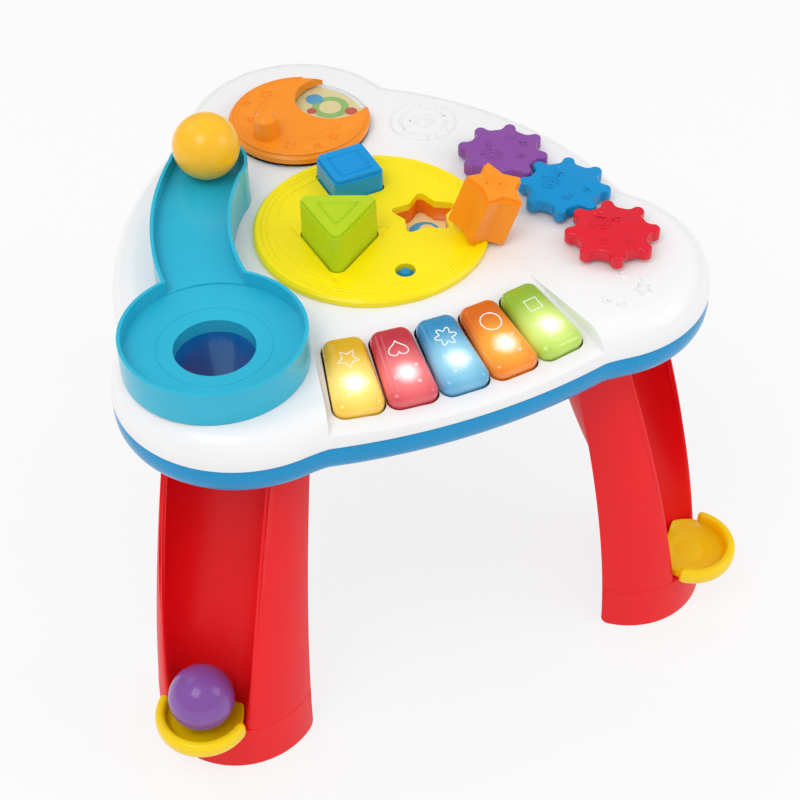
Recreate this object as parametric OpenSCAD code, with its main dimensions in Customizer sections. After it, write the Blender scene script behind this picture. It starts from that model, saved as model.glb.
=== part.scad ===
// Musical activity table for babies: a three-lobed play top on three splayed legs.
// Everything is drawn round the yellow sorter disc, and place() moves it to the base's centre.

/* [Table] */
// Height of the flat play surface above the floor
top_z = 330; // [320:1:345]
// Height of the white shell's side wall
shell_h = 25; // [22:1:30]
// Height of the blue tray under it
tray_h = 24; // [22:1:30]
// Distance of each lobe's centre from the sorter disc's centre
lobe_reach = 160; // [155:1:165]
// Radius of a lobe
lobe_r = 91; // [88:1:94]
// How far the front lobes lie below the sideways axis, in degrees
lobe_drop = 33; // [31:1:35]
// Distance of the front edge from the disc's centre
front_reach = 188; // [184:1:190]
// Distance of the slanted side edges from the disc's centre
side_reach = 191; // [187:1:193]
// Wall of the plastic shells
wall = 2.5; // [2:0.1:3]

/* [Legs] */
// Direction of the front legs' noses below the sideways axis, in degrees
nose_drop = 43; // [40:1:46]
// How far the leg's centre stands out from the lobe's centre at the floor
splay = 51; // [46:1:54]
// The same at the top of the leg
splay_top = 6; // [4:1:10]
// Radius of the leg's round outside at the floor
leg_r = 63; // [60:1:66]
// The same at the top of the leg
leg_r_top = 54; // [52:1:56]
// Wall of a leg
leg_wall = 3; // [2.6:0.2:3.4]
// Underside of the ball cup
cup_z = 40; // [36:1:44]
// Outer radius of the ball cup
cup_r = 37; // [36:0.5:39]
// Distance of the cup's centre from the lobe's centre
cup_reach = 104; // [102:1:107]

/* [Ball run] */
// Diameter of the balls
ball_d = 50; // [48:0.5:50]
// Radius of the drop hole in the bowl
hole_r = 28.5; // [27.5:0.5:29]
// Distance of the drop hole from the disc's centre
hole_reach = 175; // [173:1:177]
// Outer radius of the bowl
bowl_r = 65; // [63:1:66]
// Half the outer width of the ramp
ramp_half = 29; // [28.5:0.5:30]
// Height of the ramp's floor at the start
ramp_z = 356; // [352:1:358]

/* [Sorter] */
// Radius of the yellow disc
disc_r = 87.7; // [85:0.1:88]
// Thickness of the yellow disc
disc_h = 6; // [5:0.5:7]
// Side of the square block
square_side = 40; // [39:0.5:42]
// Radius to the corners of the triangle block
triangle_r = 31; // [30:0.5:32]
// Radius to the tips of the star block
star_r = 24; // [23:0.5:24.5]
// Height of each shape block
block_h = 42; // [40:1:44]
// Gap round a block in its hole
block_gap = 1; // [0.8:0.1:1.4]

/* [Gears and dial] */
// Radius to the tips of a gear's teeth
gear_r = 35; // [34.5:0.1:35]
// Distance between the centres of meshed gears
gear_pitch = 63; // [62.8:0.1:63.4]
// Number of teeth
gear_teeth = 8; // [8:1:8]
// Radius of the moon dial
dial_r = 56; // [54:0.5:56]

/* [Keys] */
// Length of a key
key_len = 64; // [60:1:66]
// Width of a key at its back end
key_w = 30; // [28:0.5:30.5]
// Angle from one key to the next, in degrees
key_step = 4.92; // [4.9:0.01:5]

/* [Hidden] */
$fn = 64;

// heights
rim_z = top_z - shell_h;
tray_z = rim_z - tray_h;
disc_z = top_z + disc_h;
seat = 0.3;

// lobes, sides and the origin
lobe_angle = [lobe_drop - 180, -lobe_drop, 90];
nose_angle = [nose_drop - 180, -nose_drop, 90];
lobe_centre = [for (a = lobe_angle) lobe_reach * [cos(a), sin(a)]];
front_curve = 460;
side_curve = 273;
cup_front = lobe_reach * sin(lobe_drop) + cup_reach * sin(nose_drop) + cup_r;
box_front = max(front_reach, cup_front);
box_back = lobe_reach + cup_reach + cup_r;
plan_shift = (box_front - box_back) / 2;
edge_round = 20;
edge_steps = [15, 40, 65, 90];

module place() {
    translate([0, plan_shift, 0]) children();
}

// triangles between one half of a ring and the other, each square cut along its shorter diagonal
function strip(r, count) = [for (j = [0 : count / 2 - 2]) let (m = count - 1 - j)
    each norm(r[j] - r[m - 1]) < norm(r[j + 1] - r[m]) ? [[j, j + 1, m - 1], [j, m - 1, m]] : [[j, j + 1, m], [j + 1, m - 1, m]]];

// a solid through equal rings of points, from the first ring up to the last; a ring may be bent like the leg's
module loft(rings) {
    count = len(rings[0]);
    last = len(rings) - 1;
    sides = [for (i = [0 : last - 1]) for (j = [0 : count - 1])
        let (a = i * count + j, b = i * count + (j + 1) % count) each [[a, a + count, b + count], [a, b + count, b]]];
    foot = strip(rings[0], count);
    head = [for (t = strip(rings[last], count)) last * count * [1, 1, 1] + [t[2], t[1], t[0]]];
    polyhedron([for (r = rings) each r], concat(sides, foot, head), convexity = 8);
}

// ---- play top ----

// the table's outline grown by d, with upright sides
module table_slab(d, z0, z1) {
    translate([0, 0, z0]) linear_extrude(z1 - z0) {
        for (c = lobe_centre) translate(c) circle(lobe_r + d, $fn = 180);
        intersection() {
            translate([0, front_curve - front_reach]) circle(front_curve + d, $fn = 360);
            rotate(30) translate([side_reach - side_curve, 0]) circle(side_curve + d, $fn = 360);
            rotate(150) translate([side_reach - side_curve, 0]) circle(side_curve + d, $fn = 360);
        }
    }
}

// the same with a rounded upper edge, as a stack of slabs
module table_form(d, z0, z1) {
    rise = z1 - rim_z - 2;
    for (a = edge_steps) table_slab(d - edge_round * (1 - cos(a)), z0, z1 - rise * (1 - sin(a)));
}

// keyboard bay: its floor falls from the top's surface to the front edge
fan_y = 276;
key_back = 386;
bay_back = key_back - 17;
bay_half = 12.9;
bay_front_z = rim_z + 8;
bay_back_y = fan_y - bay_back;
bay_fall = (top_z - bay_front_z) / (bay_back_y + front_reach);

function bay_floor(y) = top_z - bay_fall * (bay_back_y - y);

// everything above the bay's floor, between the two side walls
module bay_space(d) {
    intersection() {
        translate([0, 0, rim_z - 40]) linear_extrude(90)
            polygon([[0, fan_y], for (a = [-1, 1]) [a * 600 * sin(bay_half) + a * d, fan_y - 600 * cos(bay_half)]]);
        translate([0, bay_back_y + d, top_z - d]) rotate([atan(bay_fall), 0, 0])
            translate([-200, -200, 0]) cube([400, 200, 60]);
    }
}

// place children at key i, with x along the key towards its front end
module at_key(i) {
    translate([0, fan_y, 0]) rotate([0, 0, -90 + (i - 2) * key_step]) translate([key_back, 0, 0]) children();
}

key_z = bay_floor(fan_y - key_back);
key_tip_z = bay_floor(fan_y - key_back - key_len);
key_tilt = atan((key_z - key_tip_z) / key_len);
key_h = 11;
key_sink = 4;
key_slot = 1.2;
key_corner = 8;
key_front_w = key_w + 2 * key_len * sin(key_step / 2);

// a key's outline, grown by d
module key_outline(d) {
    hull() {
        for (s = [-1, 1]) {
            translate([key_corner, s * (key_w / 2 - key_corner)]) circle(key_corner + d, $fn = 32);
            translate([key_len - key_corner, s * (key_front_w / 2 - key_corner)]) circle(key_corner + d, $fn = 32);
        }
    }
}

module key_slab(d, z0, z1) {
    translate([0, 0, z0]) linear_extrude(z1 - z0) key_outline(d);
}

// drop hole, ramp and wells
hole_at = hole_reach * [cos(-150), sin(-150)];
chute_r = hole_r + wall;
disc_seat_r = disc_r - 5.5;
dial_at = [-1, 147];
axle_r = 5;
boss_r = 9;
gear_z = top_z + 3;
gear_h = 10;
purple_at = [124.4, 36.3];
blue_at = purple_at + gear_pitch * [cos(-68.2), sin(-68.2)];
red_at = blue_at + gear_pitch * [cos(-83.3), sin(-83.3)];
gear_places = [purple_at, blue_at, red_at];

case_posts = [for (a = [-5, 62, 118, 185]) 176 * [cos(a), sin(a)], [-118, -150], [118, -150]];
post_r = 5;
screw_r = 1.5;

module top_shell() {
    color("white") difference() {
        union() {
            difference() {
                table_form(0, rim_z, top_z);
                bay_space(0);
                difference() {
                    table_form(-wall, rim_z - 1, top_z - wall);
                    bay_space(wall);
                }
            }
            for (p = gear_places) translate([p[0], p[1], top_z - 8]) cylinder(r = boss_r, h = 8 + gear_z - top_z - seat);
            translate([dial_at[0], dial_at[1], top_z - 8]) cylinder(r = boss_r, h = 8);
            for (p = case_posts) translate([p[0], p[1], rim_z + 1]) cylinder(r = post_r, h = shell_h - 5);
        }
        for (p = gear_places) translate([p[0], p[1], 0]) cylinder(r = axle_r + 0.06, h = 400);
        translate([dial_at[0], dial_at[1], 0]) cylinder(r = axle_r + 0.06, h = 400);
        translate([hole_at[0], hole_at[1], 0]) cylinder(r = chute_r + 0.5, h = 400);
        cylinder(r = disc_seat_r, h = 400);
        for (i = [0 : 4]) at_key(i) translate([0, 0, key_z]) rotate([0, key_tilt, 0]) key_slab(key_slot, -14, 20);
        for (p = case_posts) translate([p[0], p[1], rim_z]) cylinder(r = screw_r, h = 12);
    }
}

// ---- blue tray ----

floor_h = 3;
speaker_at = [48, 30];
speaker_r = 29;
box_at = [-42, -22];
box_len = 62;
boss_len = 10;
box_wide = 52;
box_deep = 19;
door_h = 2;
switch_at = [10, -60];
switch_travel = 8;
board_z = rim_z;
board_posts = [for (r = [key_back + 9, key_back + 50]) for (a = [-9, 9]) [r * sin(a), fan_y - r * cos(a)]];

module base_tray() {
    color("DodgerBlue") difference() {
        union() {
            difference() {
                table_slab(0, tray_z + 4, rim_z - 0.01);
                table_slab(-wall, tray_z + floor_h, rim_z + 1);
            }
            table_slab(-2, tray_z, tray_z + 4);
            for (p = case_posts) translate([p[0], p[1], tray_z]) cylinder(r = post_r, h = tray_h + 0.99);
            for (p = board_posts) translate([p[0], p[1], tray_z]) cylinder(r = 3, h = board_z - tray_z);
        }
        difference() {
            table_slab(-2 - wall, tray_z + floor_h, tray_z + 5);
            for (p = case_posts) translate([p[0], p[1], 0]) cylinder(r = post_r, h = 400);
            for (p = board_posts) translate([p[0], p[1], 0]) cylinder(r = 3, h = 400);
        }
        for (p = case_posts) translate([p[0], p[1], tray_z - 1]) {
            cylinder(r = screw_r + 0.2, h = 60);
            cylinder(r = 3.4, h = 7);
        }
        translate([hole_at[0], hole_at[1], 0]) cylinder(r = chute_r + 0.3, h = 400);
        translate([speaker_at[0], speaker_at[1], tray_z - 1])
            for (r = [6 : 6 : 18]) for (a = [0 : 360 / r : 359]) rotate([0, 0, a]) translate([r, 0, 0]) cylinder(r = 1.5, h = 9);
        translate([box_at[0] - box_len / 2 - seat, box_at[1] - box_wide / 2 - seat, tray_z - 1])
            cube([box_len + boss_len + 2 * seat, box_wide + 2 * seat, 20]);
        translate([switch_at[0] - switch_travel / 2 - 2.4, switch_at[1] - 1.9, tray_z - 1])
            cube([switch_travel + 4.8, 3.8, 20]);
        for (i = [0 : 2]) at_leg(i) for (s = [-1, 1]) translate([peg_s, s * peg_v, tray_z - 1])
            cylinder(r = peg_r + 0.1, h = 20);
    }
}

module drop_chute() {
    color("MidnightBlue") difference() {
        translate([hole_at[0], hole_at[1], tray_z]) cylinder(r = chute_r, h = top_z + seat - tray_z);
        translate([hole_at[0], hole_at[1], tray_z - 1]) cylinder(r = hole_r, h = 100);
    }
}

// ---- ball ramp ----

ramp_floor_z = 345;
bowl_hole_z = 341;
bowl_rim_z = 357;
ramp_wall_h = 11;
start_swell = 0.5;
ramp_arc_at = [30, -30];
ramp_arc_r = 169;
ramp_from = 138.6;
ramp_to = 184;
ramp_in = ramp_half - wall;
ramp_start = ramp_arc_at + ramp_arc_r * [cos(ramp_from), sin(ramp_from)];
ramp_end = ramp_arc_at + ramp_arc_r * [cos(ramp_to), sin(ramp_to)];
ramp_run = norm(ramp_end - ramp_start);
ramp_turn = atan2(ramp_end[1] - ramp_start[1], ramp_end[0] - ramp_start[0]);
ramp_fall = atan((ramp_z - ramp_floor_z) / ramp_run);

// curved strip of the ramp, w to each side of its middle line, with its round start
module ramp_strip(w, z0, z1) {
    middle = (ramp_from + ramp_to) / 2;
    translate([ramp_arc_at[0], ramp_arc_at[1], z0]) intersection() {
        difference() {
            cylinder(r = ramp_arc_r + w, h = z1 - z0, $fn = 240);
            translate([0, 0, -1]) cylinder(r = ramp_arc_r - w, h = z1 - z0 + 2, $fn = 240);
        }
        linear_extrude(z1 - z0)
            polygon([[0, 0], for (a = [ramp_from, middle, ramp_to]) 2 * ramp_arc_r * [cos(a), sin(a)]]);
    }
    translate([ramp_start[0], ramp_start[1], z0]) cylinder(r = w + start_swell, h = z1 - z0, $fn = 96);
}

// everything above the ramp's sloping floor raised by d
module ramp_above(d) {
    translate([ramp_start[0], ramp_start[1], ramp_z + d]) rotate([0, 0, ramp_turn]) rotate([0, ramp_fall, 0])
        translate([-100, -150, 0]) cube([400, 300, 120]);
}

// the bowl's space, turned from its profile round the drop hole
module bowl_space() {
    translate([hole_at[0], hole_at[1], 0]) rotate_extrude($fn = 96)
        polygon([[0, top_z - 5], [hole_r, top_z - 5], [hole_r, bowl_hole_z], [bowl_r - wall, ramp_floor_z],
            [bowl_r - wall, ramp_z + 60], [0, ramp_z + 60]]);
}

// the open space under the bowl's floor, round the drop tube
module under_bowl() {
    translate([hole_at[0], hole_at[1], 0]) rotate_extrude($fn = 96)
        polygon([[chute_r, top_z - 5], [bowl_r - wall, top_z - 5], [bowl_r - wall, ramp_floor_z - wall],
            [chute_r, bowl_hole_z - wall]]);
}

module ball_ramp() {
    color("DarkTurquoise") difference() {
        union() {
            difference() {
                ramp_strip(ramp_half, top_z + seat, ramp_z + 40);
                ramp_above(ramp_wall_h);
            }
            translate([hole_at[0], hole_at[1], top_z + seat]) cylinder(r = bowl_r, h = bowl_rim_z - top_z - seat, $fn = 96);
        }
        intersection() {
            ramp_strip(ramp_in, top_z - 2, ramp_z + 60);
            ramp_above(0);
        }
        difference() {
            ramp_strip(ramp_in - 0.5, top_z - 1, ramp_z + 20);
            ramp_above(-wall);
            translate([hole_at[0], hole_at[1], 0]) cylinder(r = bowl_r - 0.7, h = 500, $fn = 96);
        }
        bowl_space();
        under_bowl();
    }
}

// ---- shape sorter ----

square_at = [5, 54.5];
square_turn = 3;
square_depth = 24;
triangle_at = [-31, -13];
triangle_turn = 6;
triangle_depth = 10;
star_at = [41, -4];
star_turn = 3;
star_depth = 18;
button_at = [2, -59];
button_hole_r = 7.5;

module square_form(d) {
    translate(square_at) rotate(square_turn) offset(delta = d) offset(r = 5, $fn = 32) square(square_side - 10, center = true);
}

module triangle_form(d) {
    translate(triangle_at) rotate(triangle_turn) offset(delta = d) offset(r = 6, $fn = 32)
        circle(triangle_r - 6, $fn = 3);
}

// a fat star with five tips, round the origin
module star_flat(d) {
    offset(delta = d) offset(r = 2.5, $fn = 24)
        polygon([for (k = [0 : 9]) (k % 2 == 0 ? star_r - 3 : star_r * 0.6 - 2) * [cos(36 * k), sin(36 * k)]]);
}

module star_form(d) {
    translate(star_at) rotate(star_turn) star_flat(d);
}

module sorter_disc() {
    color("Gold") difference() {
        translate([0, 0, top_z + seat]) union() {
            cylinder(r = disc_r, h = disc_h - 2 - seat, $fn = 128);
            translate([0, 0, disc_h - 2.01 - seat]) cylinder(r1 = disc_r, r2 = disc_r - 2, h = 2.01, $fn = 128);
        }
        translate([0, 0, top_z]) linear_extrude(20) {
            square_form(block_gap);
            triangle_form(block_gap);
            star_form(block_gap);
        }
        translate([button_at[0], button_at[1], top_z]) cylinder(r = button_hole_r, h = 20);
    }
}

// well hanging under a hole in the disc
module well(depth) {
    difference() {
        translate([0, 0, disc_z - depth - 1.5]) linear_extrude(depth + 1.5 - disc_h + seat) offset(delta = 1.5) children();
        translate([0, 0, disc_z - depth]) linear_extrude(depth) children();
    }
}

module square_well() { color("RoyalBlue") well(square_depth) square_form(block_gap); }
module triangle_well() { color("YellowGreen") well(triangle_depth) triangle_form(block_gap); }
module star_well() { color("DarkOrange") well(star_depth) star_form(block_gap); }

module star_card() {
    color("OrangeRed") translate([0, 0, disc_z - star_depth]) linear_extrude(0.4) star_form(block_gap - 0.4);
}

button_travel = 2;
flange_r = 8.4;
flange_z = top_z - 3;
spring_r = 5.2;
spring_wire = 0.6;
spring_coils = 4;
spring_z = top_z - 12;

module sorter_button() {
    color("RoyalBlue") translate([button_at[0], button_at[1], 0]) {
        translate([0, 0, flange_z]) cylinder(r = flange_r, h = 3);
        translate([0, 0, flange_z]) cylinder(r = button_hole_r - 0.4, h = 4);
        translate([0, 0, top_z + 1]) cylinder(r = 4, h = 2);
        translate([0, 0, top_z + 3]) intersection() {
            sphere(r = 4, $fn = 48);
            cylinder(r = 5, h = 5);
        }
        translate([0, 0, spring_z + button_travel + 1]) cylinder(r = 3, h = flange_z - spring_z - button_travel);
    }
}

// cup under the disc that holds the button and its spring
module button_cup() {
    color("Gold") translate([button_at[0], button_at[1], 0]) difference() {
        translate([0, 0, spring_z - 2]) cylinder(r = flange_r + 2.4, h = top_z + seat - spring_z + 2);
        translate([0, 0, spring_z]) cylinder(r = flange_r + 0.4, h = 40);
    }
}

// ring of points round p, square to the direction d
function ring_at(p, d, r, count) = let (u = d / norm(d), v = cross(u, abs(u[2]) < 0.9 ? [0, 0, 1] : [1, 0, 0]),
    a = v / norm(v), b = cross(u, a)) [for (k = [0 : count - 1]) let (t = 360 * k / count) p + r * (cos(t) * a + sin(t) * b)];

// round tube along a list of points
module tube_along(points, r) {
    last = len(points) - 1;
    loft([for (i = [0 : last]) ring_at(points[i], points[min(i + 1, last)] - points[max(i - 1, 0)], r, 8)]);
}

module button_spring() {
    rise = flange_z - button_travel - seat - spring_wire * 2 - spring_z;
    color("Silver") translate([button_at[0], button_at[1], spring_z + spring_wire])
        tube_along([for (k = [0 : 12 * spring_coils]) [spring_r * cos(30 * k), spring_r * sin(30 * k),
            rise * k / (12 * spring_coils)]], spring_wire);
}

// ---- moon dial ----

window_off = 35.5;
window_turn = 21;
window_r = 30;
dial_z = top_z + 1.2;
glass_h = 2;
dial_h = 9;
dial_knob = [35, 203];

// thing held on a round stem through the shell: washer and screw head
module stem_clip(p) {
    translate([p[0], p[1], 0]) {
        translate([0, 0, top_z - 10.3]) cylinder(r = boss_r, h = 2);
        translate([0, 0, top_z - 13]) cylinder(r = 3.5, h = 3);
    }
}

module moon_dial() {
    color("DarkOrange") translate([dial_at[0], dial_at[1], 0]) {
        difference() {
            union() {
                translate([0, 0, dial_z + glass_h]) cylinder(r = dial_r, h = dial_h - glass_h - 3, $fn = 96);
                translate([0, 0, dial_z + dial_h - 3.01]) cylinder(r1 = dial_r, r2 = dial_r - 4, h = 3.01, $fn = 96);
            }
            rotate([0, 0, window_turn]) translate([window_off, 0, 0]) cylinder(r = window_r, h = 400, $fn = 72);
        }
        rotate([0, 0, dial_knob[1]]) translate([dial_knob[0], 0, dial_z + dial_h - 1]) {
            cylinder(r1 = 10.5, r2 = 9, h = 16);
            translate([0, 0, 16]) cylinder(r1 = 9, r2 = 5, h = 3);
        }
        translate([0, 0, top_z - 8.3]) cylinder(r = axle_r, h = 15);
    }
}

module dial_window() {
    color("LightCyan", 0.5) translate([dial_at[0], dial_at[1], dial_z]) difference() {
        cylinder(r = dial_r, h = glass_h, $fn = 96);
        translate([0, 0, -1]) cylinder(r = axle_r, h = 10);
    }
}

module dial_clip() { color("Silver") stem_clip(dial_at); }

module picture_card() {
    color("LightGoldenrodYellow") translate([dial_at[0], dial_at[1], top_z]) difference() {
        cylinder(r = dial_r - 3, h = 0.6, $fn = 96);
        translate([0, 0, -1]) cylinder(r = axle_r + 1, h = 5);
    }
}

// ---- gears ----

gear_root = 27;
tooth_r = 5.4;
tooth_step = 360 / gear_teeth;
blue_turn = 12;

// a wheel whose tooth and gap face each other where it meets the blue gear
function meshed_turn(from, to) = let (a = atan2(to[1] - from[1], to[0] - from[0]))
    2 * a + tooth_step / 2 - blue_turn;

module gear_flat(d) {
    circle(gear_root + d, $fn = 64);
    for (k = [0 : gear_teeth - 1]) rotate(k * tooth_step) {
        translate([gear_r - tooth_r, 0]) circle(tooth_r + d, $fn = 32);
        translate([gear_root - 6, -tooth_r - d]) square([gear_r - gear_root + 6 - tooth_r, 2 * (tooth_r + d)]);
    }
}

module gear(p, turn) {
    translate([p[0], p[1], 0]) {
        translate([0, 0, gear_z]) linear_extrude(gear_h - 1) rotate(turn) gear_flat(0);
        translate([0, 0, gear_z + gear_h - 1.01]) linear_extrude(1.01) rotate(turn) gear_flat(-1);
        translate([0, 0, top_z - 8.3]) cylinder(r = axle_r, h = 13);
    }
}

module gear_purple() { color("DarkOrchid") gear(purple_at, meshed_turn(blue_at, purple_at)); }
module gear_blue() { color("DodgerBlue") gear(blue_at, blue_turn); }
module gear_red() { color("Crimson") gear(red_at, meshed_turn(blue_at, red_at)); }
module clip_purple() { color("Silver") stem_clip(purple_at); }
module clip_blue() { color("Silver") stem_clip(blue_at); }
module clip_red() { color("Silver") stem_clip(red_at); }

// ---- keys ----

hinge_back = 10;
hinge_r = 1.5;
hinge_z = -9;
arm_w = 8;

module key(i) {
    at_key(i) translate([0, 0, key_z]) rotate([0, key_tilt, 0]) difference() {
        union() {
            hull() {
                key_slab(0, -key_sink, key_h - 5);
                key_slab(-5, key_h - 1, key_h);
            }
            translate([-hinge_back, -arm_w / 2, hinge_z - 2]) cube([hinge_back + 10, arm_w, 4]);
            translate([-hinge_back, arm_w / 2, hinge_z]) rotate([90, 0, 0]) cylinder(r = 3.2, h = arm_w);
            translate([2.5, -arm_w / 2, hinge_z - 2]) cube([5, arm_w, 10]);
        }
        difference() {
            hull() {
                key_slab(-2, -key_sink - 1, key_h - 7);
                key_slab(-7, key_h - 4, key_h - 3);
            }
            translate([-1, -arm_w / 2, -20]) cube([8.5, arm_w, 30]);
        }
        translate([-hinge_back, arm_w, hinge_z]) rotate([90, 0, 0]) cylinder(r = hinge_r + 0.06, h = 2 * arm_w);
    }
}

module key_yellow() { color("Gold") key(0); }
module key_red() { color("Crimson") key(1); }
module key_blue() { color("DeepSkyBlue") key(2); }
module key_orange() { color("Orange") key(3); }
module key_green() { color("YellowGreen") key(4); }

pin_half = 8;

module key_pins() {
    color("Silver") for (i = [0 : 4]) at_key(i) translate([0, 0, key_z]) rotate([0, key_tilt, 0])
        translate([-hinge_back, pin_half, hinge_z]) rotate([90, 0, 0]) cylinder(r = hinge_r, h = 2 * pin_half);
}

ear_h = 3;

module key_frame() {
    color("Gainsboro") for (i = [0 : 4]) at_key(i) translate([0, 0, key_z]) rotate([0, key_tilt, 0])
        difference() {
            union() {
                for (s = [-1, 1]) translate([-hinge_back - 4, s > 0 ? arm_w / 2 + 0.4 : -arm_w / 2 - 0.4 - ear_h, hinge_z - 9])
                    cube([8, ear_h, 12.5]);
                translate([-hinge_back - 4, -17, hinge_z - 12]) cube([8, 34, 3.2]);
            }
            translate([-hinge_back, 20, hinge_z]) rotate([90, 0, 0]) cylinder(r = hinge_r, h = 40);
        }
    color("Gainsboro") for (i = [0 : 4]) at_key(i) translate([-hinge_back - 3, -5, tray_z + floor_h])
        cube([6, 10, key_z + hinge_z - 9 - tray_z - floor_h]);
}

strip_h = 5;

// fan-shaped plate under the keys, from radius r0 to r1
module fan(r0, r1, half, z0, h) {
    translate([0, fan_y, z0]) linear_extrude(h) intersection() {
        difference() {
            circle(r1, $fn = 360);
            circle(r0, $fn = 360);
        }
        polygon([[0, 0], for (a = [-half, half]) 700 * [sin(a), -cos(a)]]);
    }
}

module circuit_board() {
    color("DarkGreen") fan(key_back + 4, key_back + 54, 11, board_z, 1.6);
}

module contact_strip() {
    color("DimGray") {
        fan(key_back + 30, key_back + 42, 11, board_z + 1.6, 1.2);
        for (i = [0 : 4]) at_key(i) translate([36, 0, board_z + 2.4]) cylinder(r1 = 5, r2 = 3, h = strip_h);
    }
}

module key_lamps() {
    color("White") for (i = [0 : 4]) at_key(i) translate([20, 0, board_z + 1.6]) {
        cylinder(r = 2.9, h = 1);
        cylinder(r = 2.5, h = 4);
        translate([0, 0, 4]) sphere(r = 2.5, $fn = 32);
    }
}

// ---- sound, power ----

module speaker() {
    color("DimGray") translate([speaker_at[0], speaker_at[1], tray_z + floor_h]) {
        difference() {
            cylinder(r = speaker_r, h = 5);
            translate([0, 0, -1]) cylinder(r = speaker_r - 4, h = 4);
        }
        translate([0, 0, 5]) cylinder(r1 = speaker_r - 2, r2 = 14, h = 6);
        translate([0, 0, 11]) cylinder(r = 13, h = 5);
    }
}

cell_r = 7.1;
cell_len = 50;
cell_pitch = 15.4;
cell_z = tray_z + box_deep - 2 - cell_r - seat;
door_screw_x = box_len / 2 + boss_len - 5;

module battery_box() {
    color("RoyalBlue") translate([box_at[0], box_at[1], tray_z]) difference() {
        union() {
            translate([-box_len / 2, -box_wide / 2, 0]) cube([box_len + boss_len, box_wide, box_deep]);
            translate([-box_len / 2 - 3, -box_wide / 2 - 3, floor_h]) cube([box_len + boss_len + 6, box_wide + 6, 2]);
        }
        translate([-box_len / 2 + 2, -box_wide / 2 + 2, -1]) cube([box_len - 4, box_wide - 4, box_deep - 1]);
        translate([-box_len / 2 + 2, -box_wide / 2 + 2, -1]) cube([box_len + boss_len - 4, box_wide - 4, door_h + 1 + seat]);
        for (s = [-1, 1]) translate([box_len / 2, s * 16 - 8, -1]) cube([boss_len - 2, 16, box_deep - 1]);
        translate([door_screw_x, 0, 0]) cylinder(r = 1.8, h = 12);
    }
}

module battery_cells() {
    color("SlateGray") for (k = [-1 : 1])
        translate([box_at[0] - cell_len / 2, box_at[1] + k * cell_pitch, cell_z]) rotate([0, 90, 0]) {
            cylinder(r = cell_r, h = cell_len - 1);
            translate([0, 0, cell_len - 1]) cylinder(r = 2.7, h = 1);
        }
}

// plate and short spring at each end of every cell
module battery_contacts() {
    color("Silver") for (s = [-1, 1]) for (k = [-1 : 1]) translate([box_at[0], box_at[1] + k * cell_pitch, cell_z]) {
        translate([s * (box_len / 2 - 2.4) - 0.4, -4, -5]) cube([0.8, 8, 10]);
        translate([s * (cell_len / 2 + 1.6), 0, 0]) rotate([0, 90, 0]) cylinder(r = 3, h = 3, center = true);
    }
}

module battery_door() {
    color("DodgerBlue") difference() {
        translate([box_at[0] - box_len / 2 + 2 + seat, box_at[1] - box_wide / 2 + 2 + seat, tray_z])
            cube([box_len + boss_len - 4 - 2 * seat, box_wide - 4 - 2 * seat, door_h]);
        translate([box_at[0] + door_screw_x, box_at[1], tray_z - 1]) cylinder(r = 1.5, h = 8);
    }
}

module door_screw() {
    color("Silver") translate([box_at[0] + door_screw_x, box_at[1], tray_z]) {
        translate([0, 0, -1.2]) cylinder(r = 3, h = 1.2);
        translate([0, 0, -0.5]) cylinder(r = 1.5, h = door_h + 8);
    }
}

module switch_body() {
    color("DimGray") translate([switch_at[0], switch_at[1], tray_z + floor_h]) difference() {
        translate([-12, -6, 0]) cube([24, 12, 8]);
        translate([-switch_travel / 2 - 4.4, -3.4, -1]) cube([switch_travel + 8.8, 6.8, 7]);
    }
}

module power_switch() {
    color("White") translate([switch_at[0] - switch_travel / 2, switch_at[1], tray_z]) {
        translate([-2, -1.5, -1.5]) cube([4, 3, 5.5]);
        translate([-3.8, -3, floor_h + seat]) cube([7.6, 6, 4]);
    }
}

// leads from the battery box, the speaker and the switch to the circuit board
module wires() {
    color("Black") {
        tube_along([[-30, -48, tray_z + 12], [-30, -54, tray_z + 12], [-36, -76, tray_z + 12],
            [-43, -92, tray_z + 12], [-43, -118, tray_z + 16], [-43, -121, board_z - 3], [-43, -121, board_z]], 1);
        tube_along([[44, 1.2, tray_z + 5.5], [44, -4, tray_z + 5.5], [44, -60, tray_z + 12],
            [43, -92, tray_z + 12], [43, -118, tray_z + 16], [43, -121, board_z - 3], [43, -121, board_z]], 1);
        tube_along([[10, -66, tray_z + 8], [10, -71, tray_z + 8], [10, -88, tray_z + 11],
            [9, -102, tray_z + 12], [9, -118, tray_z + 16], [9, -121, board_z - 3], [9, -121, board_z]], 1);
    }
}

module case_screws() {
    color("Silver") for (p = case_posts) translate([p[0], p[1], tray_z + 4.2]) {
        cylinder(r = 3.2, h = 1.8);
        cylinder(r = screw_r, h = 28);
    }
}

// ---- legs and cups ----

plate_h = 3;
leg_h = tray_z - plate_h;
leg_rows = 7;
peg_r = 4;
peg_s = -6;
peg_v = 44;
peg_h = 9;

// place children on leg i, with x along its nose
module at_leg(i) {
    translate([lobe_centre[i][0], lobe_centre[i][1], 0]) rotate([0, 0, nose_angle[i]]) children();
}

function leg_s(z) = splay_top + (splay - splay_top) * (1 - pow(z / leg_h, 1.7));
function leg_out(z) = leg_r + (leg_r_top - leg_r) * pow(z / leg_h, 1.2);
function ridge_angle(z) = 36.2 + 14 * z / leg_h;
function groove_back(z) = -23 + (cup_reach - 27 + 23) * pow(1 - (z - cup_z) / (leg_h - cup_z), 1.5);
// centre of the round groove that passes both ridges and the back point b
function groove_centre(s, h, b) = (s * s + h * h - b * b) / (2 * (s - b));
// where two circles centred on the axis cross: [s, v]
function crossing(c1, r1, c2, r2) = let (s = (r1 * r1 - r2 * r2 + c2 * c2 - c1 * c1) / (2 * (c2 - c1)))
    [s, sqrt(max(0, r1 * r1 - (s - c1) * (s - c1)))];

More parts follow.
